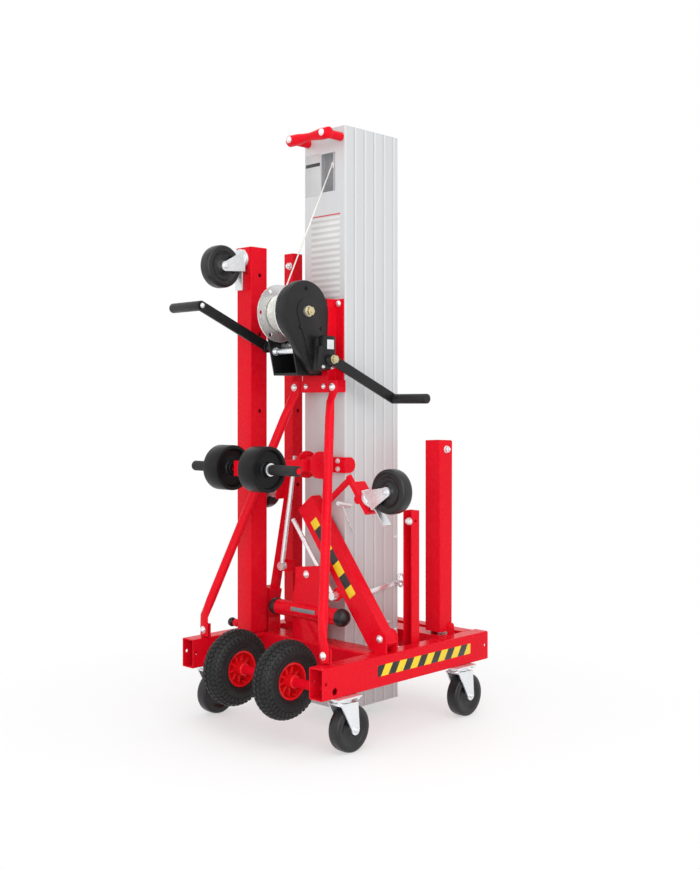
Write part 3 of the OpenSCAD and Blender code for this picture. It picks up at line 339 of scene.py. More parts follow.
# %% Anodised mast
def mast_finish():
    material = bpy.data.materials.new("mast_alloy")
    material.use_nodes = True
    tree = material.node_tree
    skin = tree.nodes["Principled BSDF"]
    # Besides the drawn lines, this colour holds painted shade and painted highlight lines at the section seams
    lines = place_group(tree, LINES_AND_PAINTED_SEAMS, Colour=(0.58, 0.59, 0.60, 1), Gloss=0.44)
    tree.links.new(lines.outputs["Colour"], skin.inputs["Base Color"])
    tree.links.new(lines.outputs["Roughness"], skin.inputs["Roughness"])
    skin.inputs["Metallic"].default_value = 0.2
    bump = node(tree, "ShaderNodeBump", Strength=0.07, Distance=0.0004)
    tree.links.new(lines.outputs["Height"], bump.inputs["Height"])
    tree.links.new(bump.outputs["Normal"], skin.inputs["Normal"])
    return material


ALLOY = mast_finish()
print("finishes", len(bpy.data.materials))

# %% [markdown]
# ## Building helpers
# Every small shape starts as its own mesh in millimetres, lying at the origin. It is turned onto its axis
# and joined to the piece it belongs to. A finished piece is scaled to metres and rides on a CAD body.


# %% Placing and finishing
def stand(point, axis=(0, 0, 1), roll=0.0):
    turn = Vector((0, 0, 1)).rotation_difference(Vector(axis)).to_matrix().to_4x4()
    return Matrix.Translation(Vector(point)) @ turn @ Matrix.Rotation(roll, 4, "Z")


def joint_place(name):
    return Vector(JOINTS[name]["pos_m"]) / MM, Vector(JOINTS[name]["axis"])


def join(target, part, where=Matrix()):
    bmesh.ops.remove_doubles(part, verts=part.verts, dist=0.0005)
    bmesh.ops.recalc_face_normals(part, faces=part.faces)
    part.transform(where)
    spare = bpy.data.meshes.new("spare")
    part.to_mesh(spare)
    part.free()
    target.from_mesh(spare)
    bpy.data.meshes.remove(spare)


def piece(shape, name, body, material, slot, replaces=None, sharp=40, even=False):
    bmesh.ops.scale(shape, vec=(MM, MM, MM), verts=shape.verts)
    mesh = bpy.data.meshes.new(name)
    shape.to_mesh(mesh)
    shape.free()
    mesh.polygons.foreach_set("use_smooth", [True] * len(mesh.polygons))
    mesh.set_sharp_from_angle(angle=math.radians(sharp))
    mesh.materials.append(material)
    made = bpy.data.objects.new(name, mesh)
    bpy.context.scene.collection.objects.link(made)
    if even:
        made.modifiers.new("even", "WEIGHTED_NORMAL").keep_sharp = True
    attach(made, body)
    if replaces:
        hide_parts(replaces)
    print(name, "on", body, len(mesh.polygons), "faces")


def single(part, where, *names, **options):
    shape = bmesh.new()
    join(shape, part, where)
    piece(shape, *names, **options)


def round_edges(shape, edges, width, segments=2):
    bmesh.ops.bevel(
        shape, geom=list(edges), offset=width, offset_type="OFFSET", segments=segments, profile=0.5,
        affect="EDGES", clamp_overlap=True, material=-1,
    )


# %% Blocks, drums, turned shapes
def block(low, high, edge=1.0):
    shape = bmesh.new()
    bmesh.ops.create_cube(shape, size=1.0)
    size = Vector(high) - Vector(low)
    bmesh.ops.scale(shape, vec=size, verts=shape.verts)
    bmesh.ops.translate(shape, vec=Vector(low) + size / 2, verts=shape.verts)
    if edge:
        round_edges(shape, shape.edges, edge)
    return shape


def drum(radius, height, edge=1.0, sides=40, tip=None):
    shape = bmesh.new()
    bmesh.ops.create_cone(
        shape, cap_ends=True, segments=sides, radius1=radius, radius2=radius if tip is None else tip, depth=height
    )
    bmesh.ops.translate(shape, vec=(0, 0, height / 2), verts=shape.verts)
    if edge:
        rims = [e for e in shape.edges if abs(e.verts[0].co.z - e.verts[1].co.z) < 1e-6]
        round_edges(shape, rims, edge)
    return shape


def turned(profile, steps=64, closed=False):
    shape = bmesh.new()
    line = [shape.verts.new((radius, 0, height)) for radius, height in profile]
    pairs = list(zip(line, line[1:])) + ([(line[-1], line[0])] if closed else [])
    edges = [shape.edges.new(pair) for pair in pairs]
    bmesh.ops.spin(
        shape, geom=line + edges, cent=(0, 0, 0), axis=(0, 0, 1), dvec=(0, 0, 0), angle=math.tau, steps=steps,
        use_merge=True, use_normal_flip=False, use_duplicate=False,
    )
    return shape


def plate(outline, height, edge=0.8):
    shape = bmesh.new()
    face = shape.faces.new([shape.verts.new((x, y, 0)) for x, y in outline])
    grown = bmesh.ops.extrude_face_region(shape, geom=[face])
    top = [v for v in grown["geom"] if isinstance(v, bmesh.types.BMVert)]
    bmesh.ops.translate(shape, vec=(0, 0, height), verts=top)
    bmesh.ops.recalc_face_normals(shape, faces=shape.faces)
    if edge:
        rims = [e for e in shape.edges if abs(e.verts[0].co.z - e.verts[1].co.z) < 1e-6]
        round_edges(shape, rims, edge)
    return shape


# %% A bar swept along a route
STRAND_VALLEY = 0.8


def swept(route, radius, sides=12, flatten=None, stranded=False, twist=0.0):
    shape = bmesh.new()
    route = [Vector(p) for p in route]
    ring = bmesh.ops.create_circle(shape, cap_ends=True, segments=sides, radius=1.0)["verts"]
    if stranded:
        for vert in ring[::2]:
            vert.co *= STRAND_VALLEY
    base = [v.co.copy() for v in ring]
    edges = list({e for v in ring for e in v.link_edges})
    side = None
    travelled = 0.0
    for index, point in enumerate(route):
        ahead = (route[min(index + 1, len(route) - 1)] - route[max(index - 1, 0)]).normalized()
        if side is None:
            side = ahead.orthogonal().normalized() if flatten is None else Vector(flatten["across"])
        side = (side - ahead * side.dot(ahead)).normalized()
        up = ahead.cross(side)
        if index:
            travelled += (point - route[index - 1]).length
            grown = bmesh.ops.extrude_edge_only(shape, edges=edges)["geom"]
            fresh = {g for g in grown if isinstance(g, bmesh.types.BMVert)}
            edges = [g for g in grown if isinstance(g, bmesh.types.BMEdge) and all(v in fresh for v in g.verts)]
            ring = [next(e.other_vert(v) for e in v.link_edges if e.other_vert(v) in fresh) for v in ring]
        wide, thin = flatten["sizes"][index] if flatten else (radius, radius)
        turn = Matrix.Rotation(twist * travelled, 3, "Z")
        for vert, start in zip(ring, base):
            local = turn @ start
            vert.co = point + side * local.x * wide + up * local.y * thin
    bmesh.ops.holes_fill(shape, edges=[e for e in shape.edges if e.is_boundary], sides=0)
    return shape


# %% Bolts
def dome_bolt(size=12.0):
    shape = bmesh.new()
    join(shape, turned([(0, 0), (size, 0), (size, 2.2), (size * 0.96, 2.6), (0, 2.6)], 36))
    dome = [(size * 0.86 * math.cos(a), 2.6 + size * 0.62 * math.sin(a)) for a in (0, 0.3, 0.6, 0.9, 1.2, math.pi / 2)]
    join(shape, turned([(0, 2.6)] + dome, 36))
    return shape


def hex_bolt(size=12.0, thread=0.0):
    shape = bmesh.new()
    join(shape, turned([(0, 0), (size, 0), (size, 1.8), (size * 0.95, 2.2), (0, 2.2)], 36))
    head = drum(size * 0.92, size * 0.62, 1.0, 6)
    join(shape, head, Matrix.Translation((0, 0, 2.2)))
    if thread:
        join(shape, drum(size * 0.46, thread, 0.8, 20), Matrix.Translation((0, 0, 2.2 + size * 0.55)))
    return shape


print("helpers ready")

# %% [markdown]
# ## Rounded steel from the CAD solids
# Real tube has round corners, because it is rolled, and its cut ends are deburred. A copy of each CAD solid
# is merged, its flat triangles dissolved, and its long edges bevelled. The sizes stay those of the CAD.


# %% Soften the structural nodes
LONG_EDGE, SHORT_EDGE, CORNER = 300.0, 6.0, math.radians(50)


def softened(name, material, slot, fine=1.0, wide=None, groove=None):
    body = frame["nodes"][name]["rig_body"]
    shape = bmesh.new()
    shape.from_mesh(frame["nodes"][name].data)
    bmesh.ops.scale(shape, vec=(1 / MM,) * 3, verts=shape.verts)
    if groove:
        floor_verts = [v for v in shape.verts if abs(abs(v.co.x) - groove[0]) < 0.05]
        for vert in floor_verts:
            vert.co.x = math.copysign(groove[1], vert.co.x)
    bmesh.ops.remove_doubles(shape, verts=shape.verts, dist=0.004)
    bmesh.ops.dissolve_limit(
        shape, angle_limit=math.radians(0.8), verts=shape.verts, edges=shape.edges, use_dissolve_boundaries=False
    )

    def hard(low, high):
        return [
            e for e in shape.edges
            if e.is_manifold and low <= e.calc_length() < high and e.calc_face_angle(0) > CORNER
        ]

    if wide:
        round_edges(shape, [e for e in hard(LONG_EDGE, math.inf) if e.is_convex], wide, 4)
    if fine:
        round_edges(shape, hard(SHORT_EDGE, LONG_EDGE if wide else math.inf), fine, 2)
    piece(shape, name + "_steel", body, material, slot, name, sharp=38, even=True)


# Outer corner radius of each square tube
TUBES = {
    "left_rail": 4.5, "right_rail": 4.5, "cross_members": 4.5, "stowed_leg": 5.0,
    "stowed_bar": 4.0, "left_fork": 4.5, "right_fork": 4.5, "right_outrigger": 3.5,
}
for tube, corner_radius in TUBES.items():
    softened(tube, RED, "red_enamel", fine=0.9, wide=corner_radius)
for part in ("frame_brackets", "winch_bracket", "roller_clamp", "roller_arm", "left_outrigger", "cradle_channel",
             "carriage", "transport_axle"):
    softened(part, RED, "red_enamel", fine=1.2)
for part in ("winch_frame", "left_crank", "right_crank"):
    softened(part, BLACK, "black_enamel", fine=1.2)
for part in ("left_stay", "right_stay"):
    softened(part, ZINC, "zinc_plate", fine=0.8)
for part in ("drum", "countershaft", "input_shaft"):
    softened(part, STEEL, "winch_steel", fine=0.6)
CASTERS = ("front_left", "front_right", "rear_left", "rear_right", "leg", "right_outrigger", "left_outrigger")
for place in CASTERS:
    softened(place + "_caster_fork", ZINC, "zinc_plate", fine=1.0)
# The mast's sides have guide grooves, whose floor at the first X is brought out to the second
GUIDE_GROOVE = (98.5, 100)
for index in range(1, SECTIONS + 1):
    softened(f"mast_section_{index}", ALLOY, "mast_alloy", fine=0, wide=2.8, groove=GUIDE_GROOVE)
sheave = frame["nodes"]["top_sheave"]
sheave.data.materials.clear()
sheave.data.materials.append(STEEL)

# %% [markdown]
# ## Wheels
# The caster wheels are moulded: a crowned tread, a stepped face and a hub. A turned profile gives all of it
# in one spin. The pneumatic tyres need real blocks, because a bump alone leaves the outline smooth.


# %% Caster wheels
def mirrored(half):
    return half + [(radius, -height) for radius, height in reversed(half)]


def caster_wheel():
    hub = [(6.4, 25), (16, 25), (18, 24), (20, 21)]
    web = [(25, 17.5), (33, 15), (41, 14.8), (47, 17), (51, 21), (53, 22.6), (56, 23)]
    tread = [(65, 23), (70, 21.8), (73.4, 18.5), (74.7, 13), (75, 5)]
    return turned(mirrored(hub + web + tread), 72, closed=True)


FORK_HALF_W = 31.2
UPPER_RACE = [(31.5, 0), (34, 1.5), (34.5, 5), (33, 8), (31.5, 8.5)]
LOWER_RACE = [(31.5, 0), (35, 1), (35.5, 4), (31.5, 5)]


for place in CASTERS:
    centre, axis = joint_place(place + "_wheel_spin")
    label = place + "_wheel"
    single(caster_wheel(), stand(centre, axis), label, label, RUBBER, "caster_tread", place + "_caster_wheel", sharp=35)
    fork, down = joint_place(place + "_swivel")
    trim = bmesh.new()
    for end in (1, -1):
        join(trim, hex_bolt(9.0, 3.0), stand(centre + axis * end * FORK_HALF_W, axis * end))
    for race, drop in ((UPPER_RACE, 9), (LOWER_RACE, 19)):
        join(trim, turned(race, 40, closed=True), stand(fork + down * drop, down))
    join(trim, dome_bolt(8.0), stand(fork + down * 27.5, down))
    piece(trim, place + "_fork_trim", place + "_fork", ZINC, "zinc_plate")


# %% Pneumatic tyres
TYRE_R, TYRE_W, SEAT_R = 130.0, 85.0, 62.3
# Tilt of each row of blocks in degrees, blocks in the row, and its offset in blocks
TREAD_ROWS = ((-62, 40, 0.5), (-34, 44, 0.0), (-11, 46, 0.5), (11, 46, 0.0), (34, 44, 0.5), (62, 40, 0.0))
BLOCK_H, BLOCK_W, BLOCK_SLANT, BLOCK_LIFT = 6.0, 14.0, 0.5, 0.9


def tyre():
    shape = bmesh.new()
    bulge = TYRE_W / 2 - 1.0
    middle = TYRE_R - 4.0 - bulge
    arc = [math.radians(a) for a in range(-118, 119, 8)]
    outer = [(middle + bulge * math.cos(a), bulge * math.sin(a)) for a in arc]
    inner = [(SEAT_R, outer[-1][1] * 0.9), (SEAT_R, outer[0][1] * 0.9)]
    join(shape, turned(outer + inner, 96, closed=True))
    for tilt, count, phase in TREAD_ROWS:
        lean = math.radians(tilt)
        reach = middle + bulge * math.cos(lean)
        for index in range(count):
            size = (BLOCK_H, reach * math.tau / count * 0.72, BLOCK_W)
            lug = block([-s / 2 for s in size], [s / 2 for s in size], 0)
            top = max(lug.faces, key=lambda f: f.normal.x)
            bmesh.ops.scale(lug, vec=(1, 0.74, 0.78), verts=top.verts)
            slant = Matrix.Rotation(math.copysign(BLOCK_SLANT, tilt), 4, "X")
            tilted = Matrix.Translation((middle, 0, 0)) @ Matrix.Rotation(-lean, 4, "Y")
            out = tilted @ Matrix.Translation((bulge + BLOCK_LIFT, 0, 0))
            join(shape, lug, Matrix.Rotation((index + phase) * math.tau / count, 4, "Z") @ out @ slant)
    for side in (1, -1):
        for radius, swell in ((72, 2.2), (80, 1.4)):
            height = math.sqrt(max(bulge**2 - (radius - middle) ** 2, 1))
            ridge = [(radius - 2, height - 1.5), (radius, height + swell), (radius + 2, height - 1.5)]
            join(shape, turned(ridge, 72, closed=True), Matrix.Scale(side, 4, (0, 0, 1)))
    return shape


def rim():
    shape = bmesh.new()
    outside = [(54, -31), (60, -33), (61.6, -31), (58, -22), (58, 22), (61.6, 31), (60, 33), (54, 31)]
    inside = [(52.5, 22), (52.5, -22)]
    join(shape, turned(outside + inside, 72, closed=True))
    hub = [(11.7, -48), (19, -48), (21.5, -45), (22.5, -10), (22.5, 10), (21.5, 45), (19, 48), (11.7, 48)]
    join(shape, turned(hub, 40, closed=True))
    spokes = 9
    for index in range(spokes):
        spoke = block((20, -4.0, -17), (54.5, 4.0, 17), 1.4)
        join(shape, spoke, Matrix.Rotation(index * math.tau / spokes, 4, "Z"))
    join(shape, turned([(21, -6), (54, -6), (54, 2), (21, 2)], 60, closed=True))
    stem = drum(3.2, 26, 0.8, 14)
    join(shape, stem, Matrix.Translation((46, 12, 8)))
    return shape


for side in ("left", "right"):
    centre, axis = joint_place(side + "_wheel_spin")
    for make, label, material, slot in ((tyre, "tyre", TYRE, "tyre_rubber"), (rim, "rim", RIM, "red_enamel")):
        names = (f"{side}_{label}_moulded", side + "_wheel", material, slot, f"{side}_{label}")
        single(make(), stand(centre, axis), *names, sharp=32)

# %% Skid rollers and their grips
def skid_roller():
    hub = [(10.6, 38), (20, 38), (21.5, 36.5), (22, 26), (26, 22)]
    web = [(56, 20), (60, 22), (62.5, 34), (64, 36)]
    tread = [(71, 36), (74, 34.6), (75, 32)]
    return turned(mirrored(hub + web + tread), 80, closed=True)


def hand_grip(length, radius, bore, ribs):
    line = [(bore, 0), (radius - 1.5, 0), (radius, 2)]
    for index in range(ribs):
        z = 12 + index * (length - 24) / max(ribs - 1, 1)
        line += [(radius, z - 2.4), (radius - 0.9, z - 1.4), (radius - 0.9, z + 1.4), (radius, z + 2.4)]
    line += [(radius, length - 4), (radius - 1.2, length - 1.2), (radius - 4, length), (bore, length)]
    return turned(line, 40, closed=True)


for side in ("left", "right"):
    centre, axis = joint_place(side + "_roller_spin")
    label = side + "_roller"
    single(skid_roller(), stand(centre, axis), side + "_skid_roller", label, ROLLER, "black_plastic", label, sharp=32)
axle_y, axle_z = joint_place("left_roller_spin")[0].yz
WASHER_X, HAND_X, AXLE_END_X = 128, 134, 261.2
HAND_LENGTH, GRIP_R = 126, 17
hand_holds, washers, red_ends = bmesh.new(), bmesh.new(), bmesh.new()
for sign in (-1, 1):
    outward = (sign, 0, 0)
    hold = hand_grip(HAND_LENGTH, GRIP_R, bore=10.1, ribs=14)
    join(hand_holds, hold, stand((sign * HAND_X, axle_y, axle_z), outward))
    ring = turned([(10.2, 0), (21, 0), (21, 2.6), (19, 3.4), (10.2, 3.4)], 40, closed=True)
    join(washers, ring, stand((sign * WASHER_X, axle_y, axle_z), outward))
    join(red_ends, drum(9.8, 1.2, 0.4, 32), stand((sign * AXLE_END_X, axle_y, axle_z), outward))
piece(hand_holds, "roller_hand_grips", "roller_arm", GRIP, "black_plastic", "roller_grips", sharp=30)
piece(washers, "roller_washers", "roller_arm", ZINC, "zinc_plate")
piece(red_ends, "roller_axle_ends", "roller_arm", RED, "red_enamel")

# %% Crank grips
ARM_DEPTH = 15.5
for side, sign in (("left", -1), ("right", 1)):
    centre, axis = joint_place(side + "_grip_spin")
    low, high = (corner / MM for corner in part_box(side + "_grip"))
    start = low.x if sign > 0 else high.x
    label = side + "_grip"
    hold = hand_grip(high.x - low.x, GRIP_R, bore=6.3, ribs=0)
    where = stand((start, centre.y, centre.z), (sign, 0, 0))
    single(hold, where, side + "_crank_grip", label, GRIP, "black_plastic", label, sharp=30)
    where = stand((start - sign * ARM_DEPTH, centre.y, centre.z), (-sign, 0, 0))
    single(dome_bolt(9.0), where, label + "_bolt", "left_crank" if sign < 0 else "input", ZINC, "zinc_plate")
print("wheels, rollers and grips done")

# %% [markdown]
# ## Braces with flattened feet
# A brace is a tube whose two ends are pressed flat in a die, then bolted. Sweeping one ring along the tube
# and squeezing it near the ends gives the round middle, the crease and the flat foot in one mesh.

# %% Braces
BRACE_R = 16.0
FLAT_W, FLAT_T = 21, 4
foot = Vector((300, -317, 312))
knee = Vector((298, -323, 351))
neck = Vector((95, -85, 1123))
head = Vector((95, -71, 1163))


def brace():
    along = neck - knee
    # Share of the tube's length from its end, and half the width and thickness there
    squeeze = ((0.012, (20.5, 4.6)), (0.03, (19, 8)), (0.055, (17, 13)), (0.085, (BRACE_R, BRACE_R)))
    flat = (FLAT_W, FLAT_T)
    stops = [(foot - Vector((0, 0, 22)), flat), (foot + Vector((0, 0, 20)), flat)]
    stops += [(knee + along * share, size) for share, size in squeeze]
    stops += [(knee + along * (1 - share), size) for share, size in reversed(squeeze)]
    stops += [(head - Vector((0, 0, 20)), flat), (head + Vector((0, 0, 22)), flat)]
    route, sizes = zip(*stops)
    return swept(route, BRACE_R, 28, {"across": (1, 0, 0), "sizes": sizes})


tubes = bmesh.new()
for flip in (1, -1):
    join(tubes, brace(), Matrix.Scale(flip, 4, (1, 0, 0)))
bmesh.ops.recalc_face_normals(tubes, faces=tubes.faces)
piece(tubes, "brace_tubes", "base", RED, "red_enamel", "braces", sharp=60)
print("brace length", round((neck - knee).length))

# %% [markdown]
# ## Bolts, plates and buffer
# Zinc bolts hold the frame together. On this hoist most heads are domed nuts with a wide washer. They stand
# where the CAD's fasteners stand, so one piece replaces that node.

# %% Frame fasteners
FRONT, RIGHT = (0, -1, 0), (1, 0, 0)
BEAM_BOLT, CLAMP_BOLT, WING_BOLT, PLATE_BOLT = (44, -67, 1166), (75, -27, 893), (76, -25, 1350), (0, -107, 515)
CLAMP_LIFT, WING_LIFT = 14, 103
LUG_FRONT, LUG_BACK = -80.5, -21.5
PLATE_T = 6


def mirror_x(point, sign, lift=0):
    return Vector((sign * point[0], point[1], point[2] + lift))


fasteners = bmesh.new()
for sign in (-1, 1):
    for end in (foot, head):
        join(fasteners, dome_bolt(13), stand(mirror_x(end, sign) - Vector((0, FLAT_T, 0)), FRONT))
    join(fasteners, dome_bolt(9), stand(mirror_x(BEAM_BOLT, sign), FRONT))
    for lift in (-CLAMP_LIFT, CLAMP_LIFT):
        join(fasteners, hex_bolt(9, 2), stand(mirror_x(CLAMP_BOLT, sign, lift), FRONT))
    for lift in (-WING_LIFT, WING_LIFT):
        join(fasteners, dome_bolt(11), stand(mirror_x(WING_BOLT, sign, lift), FRONT))
join(fasteners, dome_bolt(13), stand(PLATE_BOLT, FRONT))
for name in ("right_outrigger_fold", "left_outrigger_fold"):
    centre, axis = joint_place(name)
    join(fasteners, dome_bolt(13), stand((centre.x, LUG_FRONT, centre.z), FRONT))
    join(fasteners, hex_bolt(11, 3), stand((centre.x, LUG_BACK, centre.z), (0, 1, 0)))
    join(fasteners, drum(5.6, LUG_BACK - LUG_FRONT, 0, 24), stand((centre.x, LUG_FRONT, centre.z), (0, 1, 0)))
for place in CASTERS[:4]:
    centre, axis = joint_place(place + "_swivel")
    top_plate = block((-42.5, -52.5, -PLATE_T), (42.5, 52.5, 0), 1.4)
    join(fasteners, top_plate, Matrix.Translation(centre))
    for x in (-33, 33):
        for y in (-42, 42):
            join(fasteners, hex_bolt(8, 2), stand(centre + Vector((x, y, -PLATE_T)), (0, 0, -1)))
piece(fasteners, "frame_fasteners", "base", ZINC, "zinc_plate", "frame_hardware", sharp=32)

# %% Buffer ends
BALL_R, BALL_SEAT, BAR_END = 31, 12, (150, -98, 384)
BALL_ANGLES = (-0.39, -0.1, 0.2, 0.5, 0.8, 1.1, 1.35, math.pi / 2)
balls = bmesh.new()
for sign in (-1, 1):
    ball = [(BALL_R * math.cos(a), BALL_SEAT + BALL_R * math.sin(a)) for a in BALL_ANGLES]
    join(balls, turned([(0, 0.1)] + ball, 56), stand(mirror_x(BAR_END, sign), (sign, 0, 0)))
piece(balls, "buffer_balls", "base", RUBBER, "black_plastic", "buffer_caps", sharp=45)

# %% [markdown]
# ## The winch
# A gear case of cast metal hides the gears. Its outline is two circles joined by straight sides, with a
# rounded rim and a raised boss plate. A brake housing sits at its foot, where the crank shaft comes out.
# The outline is extruded as one plate and its rim bevelled, because two joined drums would leave a crease.


# %% Gear case
def belt(first, big, second, small, steps=40):
    way = Vector(second) - Vector(first)
    heading = math.atan2(way.y, way.x)
    lean = math.asin((big - small) / way.length)
    start = heading + math.pi / 2 - lean
    sweep = math.pi + 2 * lean
    ring = [Vector(first) + big * Vector((math.cos(start + sweep * i / steps), math.sin(start + sweep * i / steps)))
            for i in range(steps + 1)]
    turn = heading - math.pi / 2 + lean
    sweep = math.pi - 2 * lean
    ring += [Vector(second) + small * Vector((math.cos(turn + sweep * i / steps), math.sin(turn + sweep * i / steps)))
             for i in range(steps + 1)]
    return ring


drum_axis = joint_place("drum_turn")[0]
input_axis = joint_place("input_turn")[0]
counter_axis = joint_place("countershaft_turn")[0]
SIDEWAYS = Matrix(((0, 0, 1, 0), (1, 0, 0, 0), (0, 1, 0, 0), (0, 0, 0, 1)))


def across(x):
    return Matrix.Translation((x, 0, 0)) @ SIDEWAYS


CASE_BACK, CASE_FACE, CASE_R, FOOT_R = 34, 72, 106, 46
CASE_SCREWS = ((-205, 1362), (-108, 1362), (-161, 1262), (-175, 1497))
# Lowest and highest corner of each block of the brake housing, and how far its edges are rounded
BRAKE_BLOCKS = (
    ((-1, 4, 2), (28, 70, 112), 7), ((20, 2, 4), (50, 60, 88), 10), ((22, 12, 24), (53, 70, 120), 8),
)
BRAKE_CORNER = Vector((CASE_FACE, input_axis.y - 34, input_axis.z - 38))

case = bmesh.new()
shell = plate(belt(drum_axis.yz, CASE_R, input_axis.yz, FOOT_R), CASE_FACE - CASE_BACK, 7)
join(case, shell, across(CASE_BACK))
boss = plate(belt(drum_axis.yz, 46, input_axis.yz + Vector((6, 0)), 40), 4.5, 1.6)
join(case, boss, across(CASE_FACE - 0.5))
rib = plate(belt(drum_axis.yz, CASE_R - 9, input_axis.yz, FOOT_R - 8), 2.0, 1.0)
join(case, rib, across(CASE_FACE - 1))
for low, high, edge in BRAKE_BLOCKS:
    join(case, block(BRAKE_CORNER + Vector(low), BRAKE_CORNER + Vector(high), edge))
join(case, drum(26, 12, 3, 40), stand((CASE_FACE + 42, input_axis.y, input_axis.z), RIGHT))
for y, z in CASE_SCREWS:
    join(case, hex_bolt(6.5), stand((CASE_FACE + 0.6, y, z), RIGHT))
piece(case, "gear_case", "base", BLACK, "black_enamel", "gear_cover", sharp=38)

# %% Winch screws, nuts, tie bar and blank tag
BRAKE_FACE, DRUM_END, CRANK_END, LEFT_END = 121.5, 84.8, 150, -176.5
screws = bmesh.new()
for y, z in ((-146, 1230), (-104, 1228)):
    join(screws, hex_bolt(6), stand((BRAKE_FACE, y, z), RIGHT))
piece(screws, "winch_screws", "base", ZINC, "zinc_plate")
where = stand((DRUM_END, *drum_axis.yz), RIGHT)
single(hex_bolt(17, 6), where, "drum_nut", "drum", YELLOW_ZINC, "winch_steel", sharp=32)
where = stand((CRANK_END, *input_axis.yz), RIGHT)
single(hex_bolt(15, 5), where, "crank_nut", "input", YELLOW_ZINC, "winch_steel", sharp=32)
where = stand((LEFT_END, *counter_axis.yz), (-1, 0, 0))
single(dome_bolt(13), where, "left_crank_nut", "left_crank", ZINC, "zinc_plate", sharp=32)
TIE_AT, TIE_LENGTH = (-81.8, -178, 1286), 109.6
tie = bmesh.new()
join(tie, drum(10, TIE_LENGTH, 0.8, 32), stand(TIE_AT, RIGHT))
join(tie, drum(15, 5, 1.0, 32), stand(TIE_AT, RIGHT))
piece(tie, "winch_tie_bar", "base", ZINC, "zinc_plate", sharp=40)
tag = block((124.8, -130, 1290), (125.6, -98, 1322), 0.3)
single(tag, Matrix(), "winch_tag", "base", ZINC, "zinc_plate")
print("winch done")

# %% [markdown]
# ## Wire rope
# Wire rope is strands laid round each other. A ring with lobes that twists as it is swept gives real strands,
# on the taut length as on the turns round the drum. Both follow the CAD's route.

# %% Taut rope and wound rope
ROPE_D = 5.0
WIND_R, WIND_START, WIND_END, TURNS = 61.8, -58.2, 16.2, 13
LAY = math.tau / 34
TAUT_STEPS, TURN_STEPS = 270, 170
SLEEVE, SLEEVE_X = [(39, 0), (59, 0), (59, 81), (39, 81)], -61.5
sheave_axis = joint_place("sheave_turn")[0]
rope_low = Vector((8, drum_axis.y - 67.1, drum_axis.z + 19))
rope_top = Vector((31, sheave_axis.y - 17.3, sheave_axis.z))


def rope(route):
    return swept(route, ROPE_D / 2, stranded=True, twist=LAY)


route = [rope_low.lerp(rope_top, i / TAUT_STEPS) for i in range(TAUT_STEPS + 1)]
single(rope(route), Matrix(), "taut_rope", "base", WIRE, "rope_steel", "wire_rope", sharp=70)
steps = TURN_STEPS * TURNS
route = []
for i in range(steps + 1):
    a = i / steps * TURNS * math.tau
    x = WIND_START + (WIND_END - WIND_START) * i / steps
    route.append(Vector((x, drum_axis.y + WIND_R * math.cos(a), drum_axis.z + WIND_R * math.sin(a))))
wound = bmesh.new()
join(wound, rope(route))
join(wound, turned(SLEEVE, 72, closed=True), stand((SLEEVE_X, *drum_axis.yz), RIGHT))
piece(wound, "drum_rope_lay", "drum", WIRE, "rope_steel", "drum_rope", sharp=70)

# %% [markdown]
# ## Striped tape and plain plates
# Yellow and black tape marks the parts that stick out. It is a thin sheet, and its slanted bands are mixed
# from the distance along the tape, so they need no picture. The plates are pale sheets with plain grey bands.


# %% Tape and plate finishes
def banded(name, first, second, direction, width, gloss=0.35, duty=0.5, phase=0.0):
    material = bpy.data.materials.new(name)
    material.use_nodes = True
    tree = material.node_tree
    skin = tree.nodes["Principled BSDF"]
    place = node(tree, "ShaderNodeTexCoord").outputs["Object"]
    along = node(tree, "ShaderNodeVectorMath", operation="DOT_PRODUCT")
    tree.links.new(place, along.inputs[0])
    along.inputs[1].default_value = [c / (width * MM) for c in direction]
    shifted = node(tree, "ShaderNodeMath", operation="ADD")
    tree.links.new(along.outputs["Value"], shifted.inputs[0])
    shifted.inputs[1].default_value = phase
    cycle = node(tree, "ShaderNodeMath", operation="FRACT")
    tree.links.new(shifted.outputs[0], cycle.inputs[0])
    step = node(tree, "ShaderNodeMath", operation="GREATER_THAN")
    tree.links.new(cycle.outputs[0], step.inputs[0])
    step.inputs[1].default_value = duty
    colour = blend_colour(tree, step.outputs[0], (*first, 1), (*second, 1))
    weather = place_group(tree, WEATHER, Cloud=0.06, Dust=0.06, Gloss=gloss)
    tree.links.new(colour, weather.inputs["Colour"])
    tree.links.new(weather.outputs["Colour"], skin.inputs["Base Color"])
    tree.links.new(weather.outputs["Roughness"], skin.inputs["Roughness"])
    return material


YELLOW, INK = (0.86, 0.60, 0.01), (0.012, 0.012, 0.012)
RAIL_TAPE = banded("rail_tape", INK, YELLOW, direction=(0, 1, -0.62), width=72, phase=0.89)
LEG_TAPE = banded("leg_tape", INK, YELLOW, direction=(-0.616, 0, 0.788), width=96, phase=0.1)
CHART_DARK, CHART_PALE = (0.50, 0.50, 0.495), (0.64, 0.64, 0.635)
CHART = banded("chart_plate", CHART_DARK, CHART_PALE, direction=(0, 0, 1), width=21, gloss=0.4)
RULE = finish("printed_rule", (0.55, 0.09, 0.10), 0.4, cloud=0.02, dust=0.0, depth=0.0)
STRIP = finish("printed_strip", (0.03, 0.03, 0.032), 0.4, cloud=0.02, dust=0.0, depth=0.0)
PLATE = finish("blank_plate", (0.52, 0.53, 0.535), 0.36, metal=0.2, cloud=0.05, dust=0.04, pebble=600, depth=0.03)
DARK = finish("dark_window", (0.20, 0.21, 0.22), 0.25, cloud=0.1, dust=0.03, pebble=500, depth=0.02)

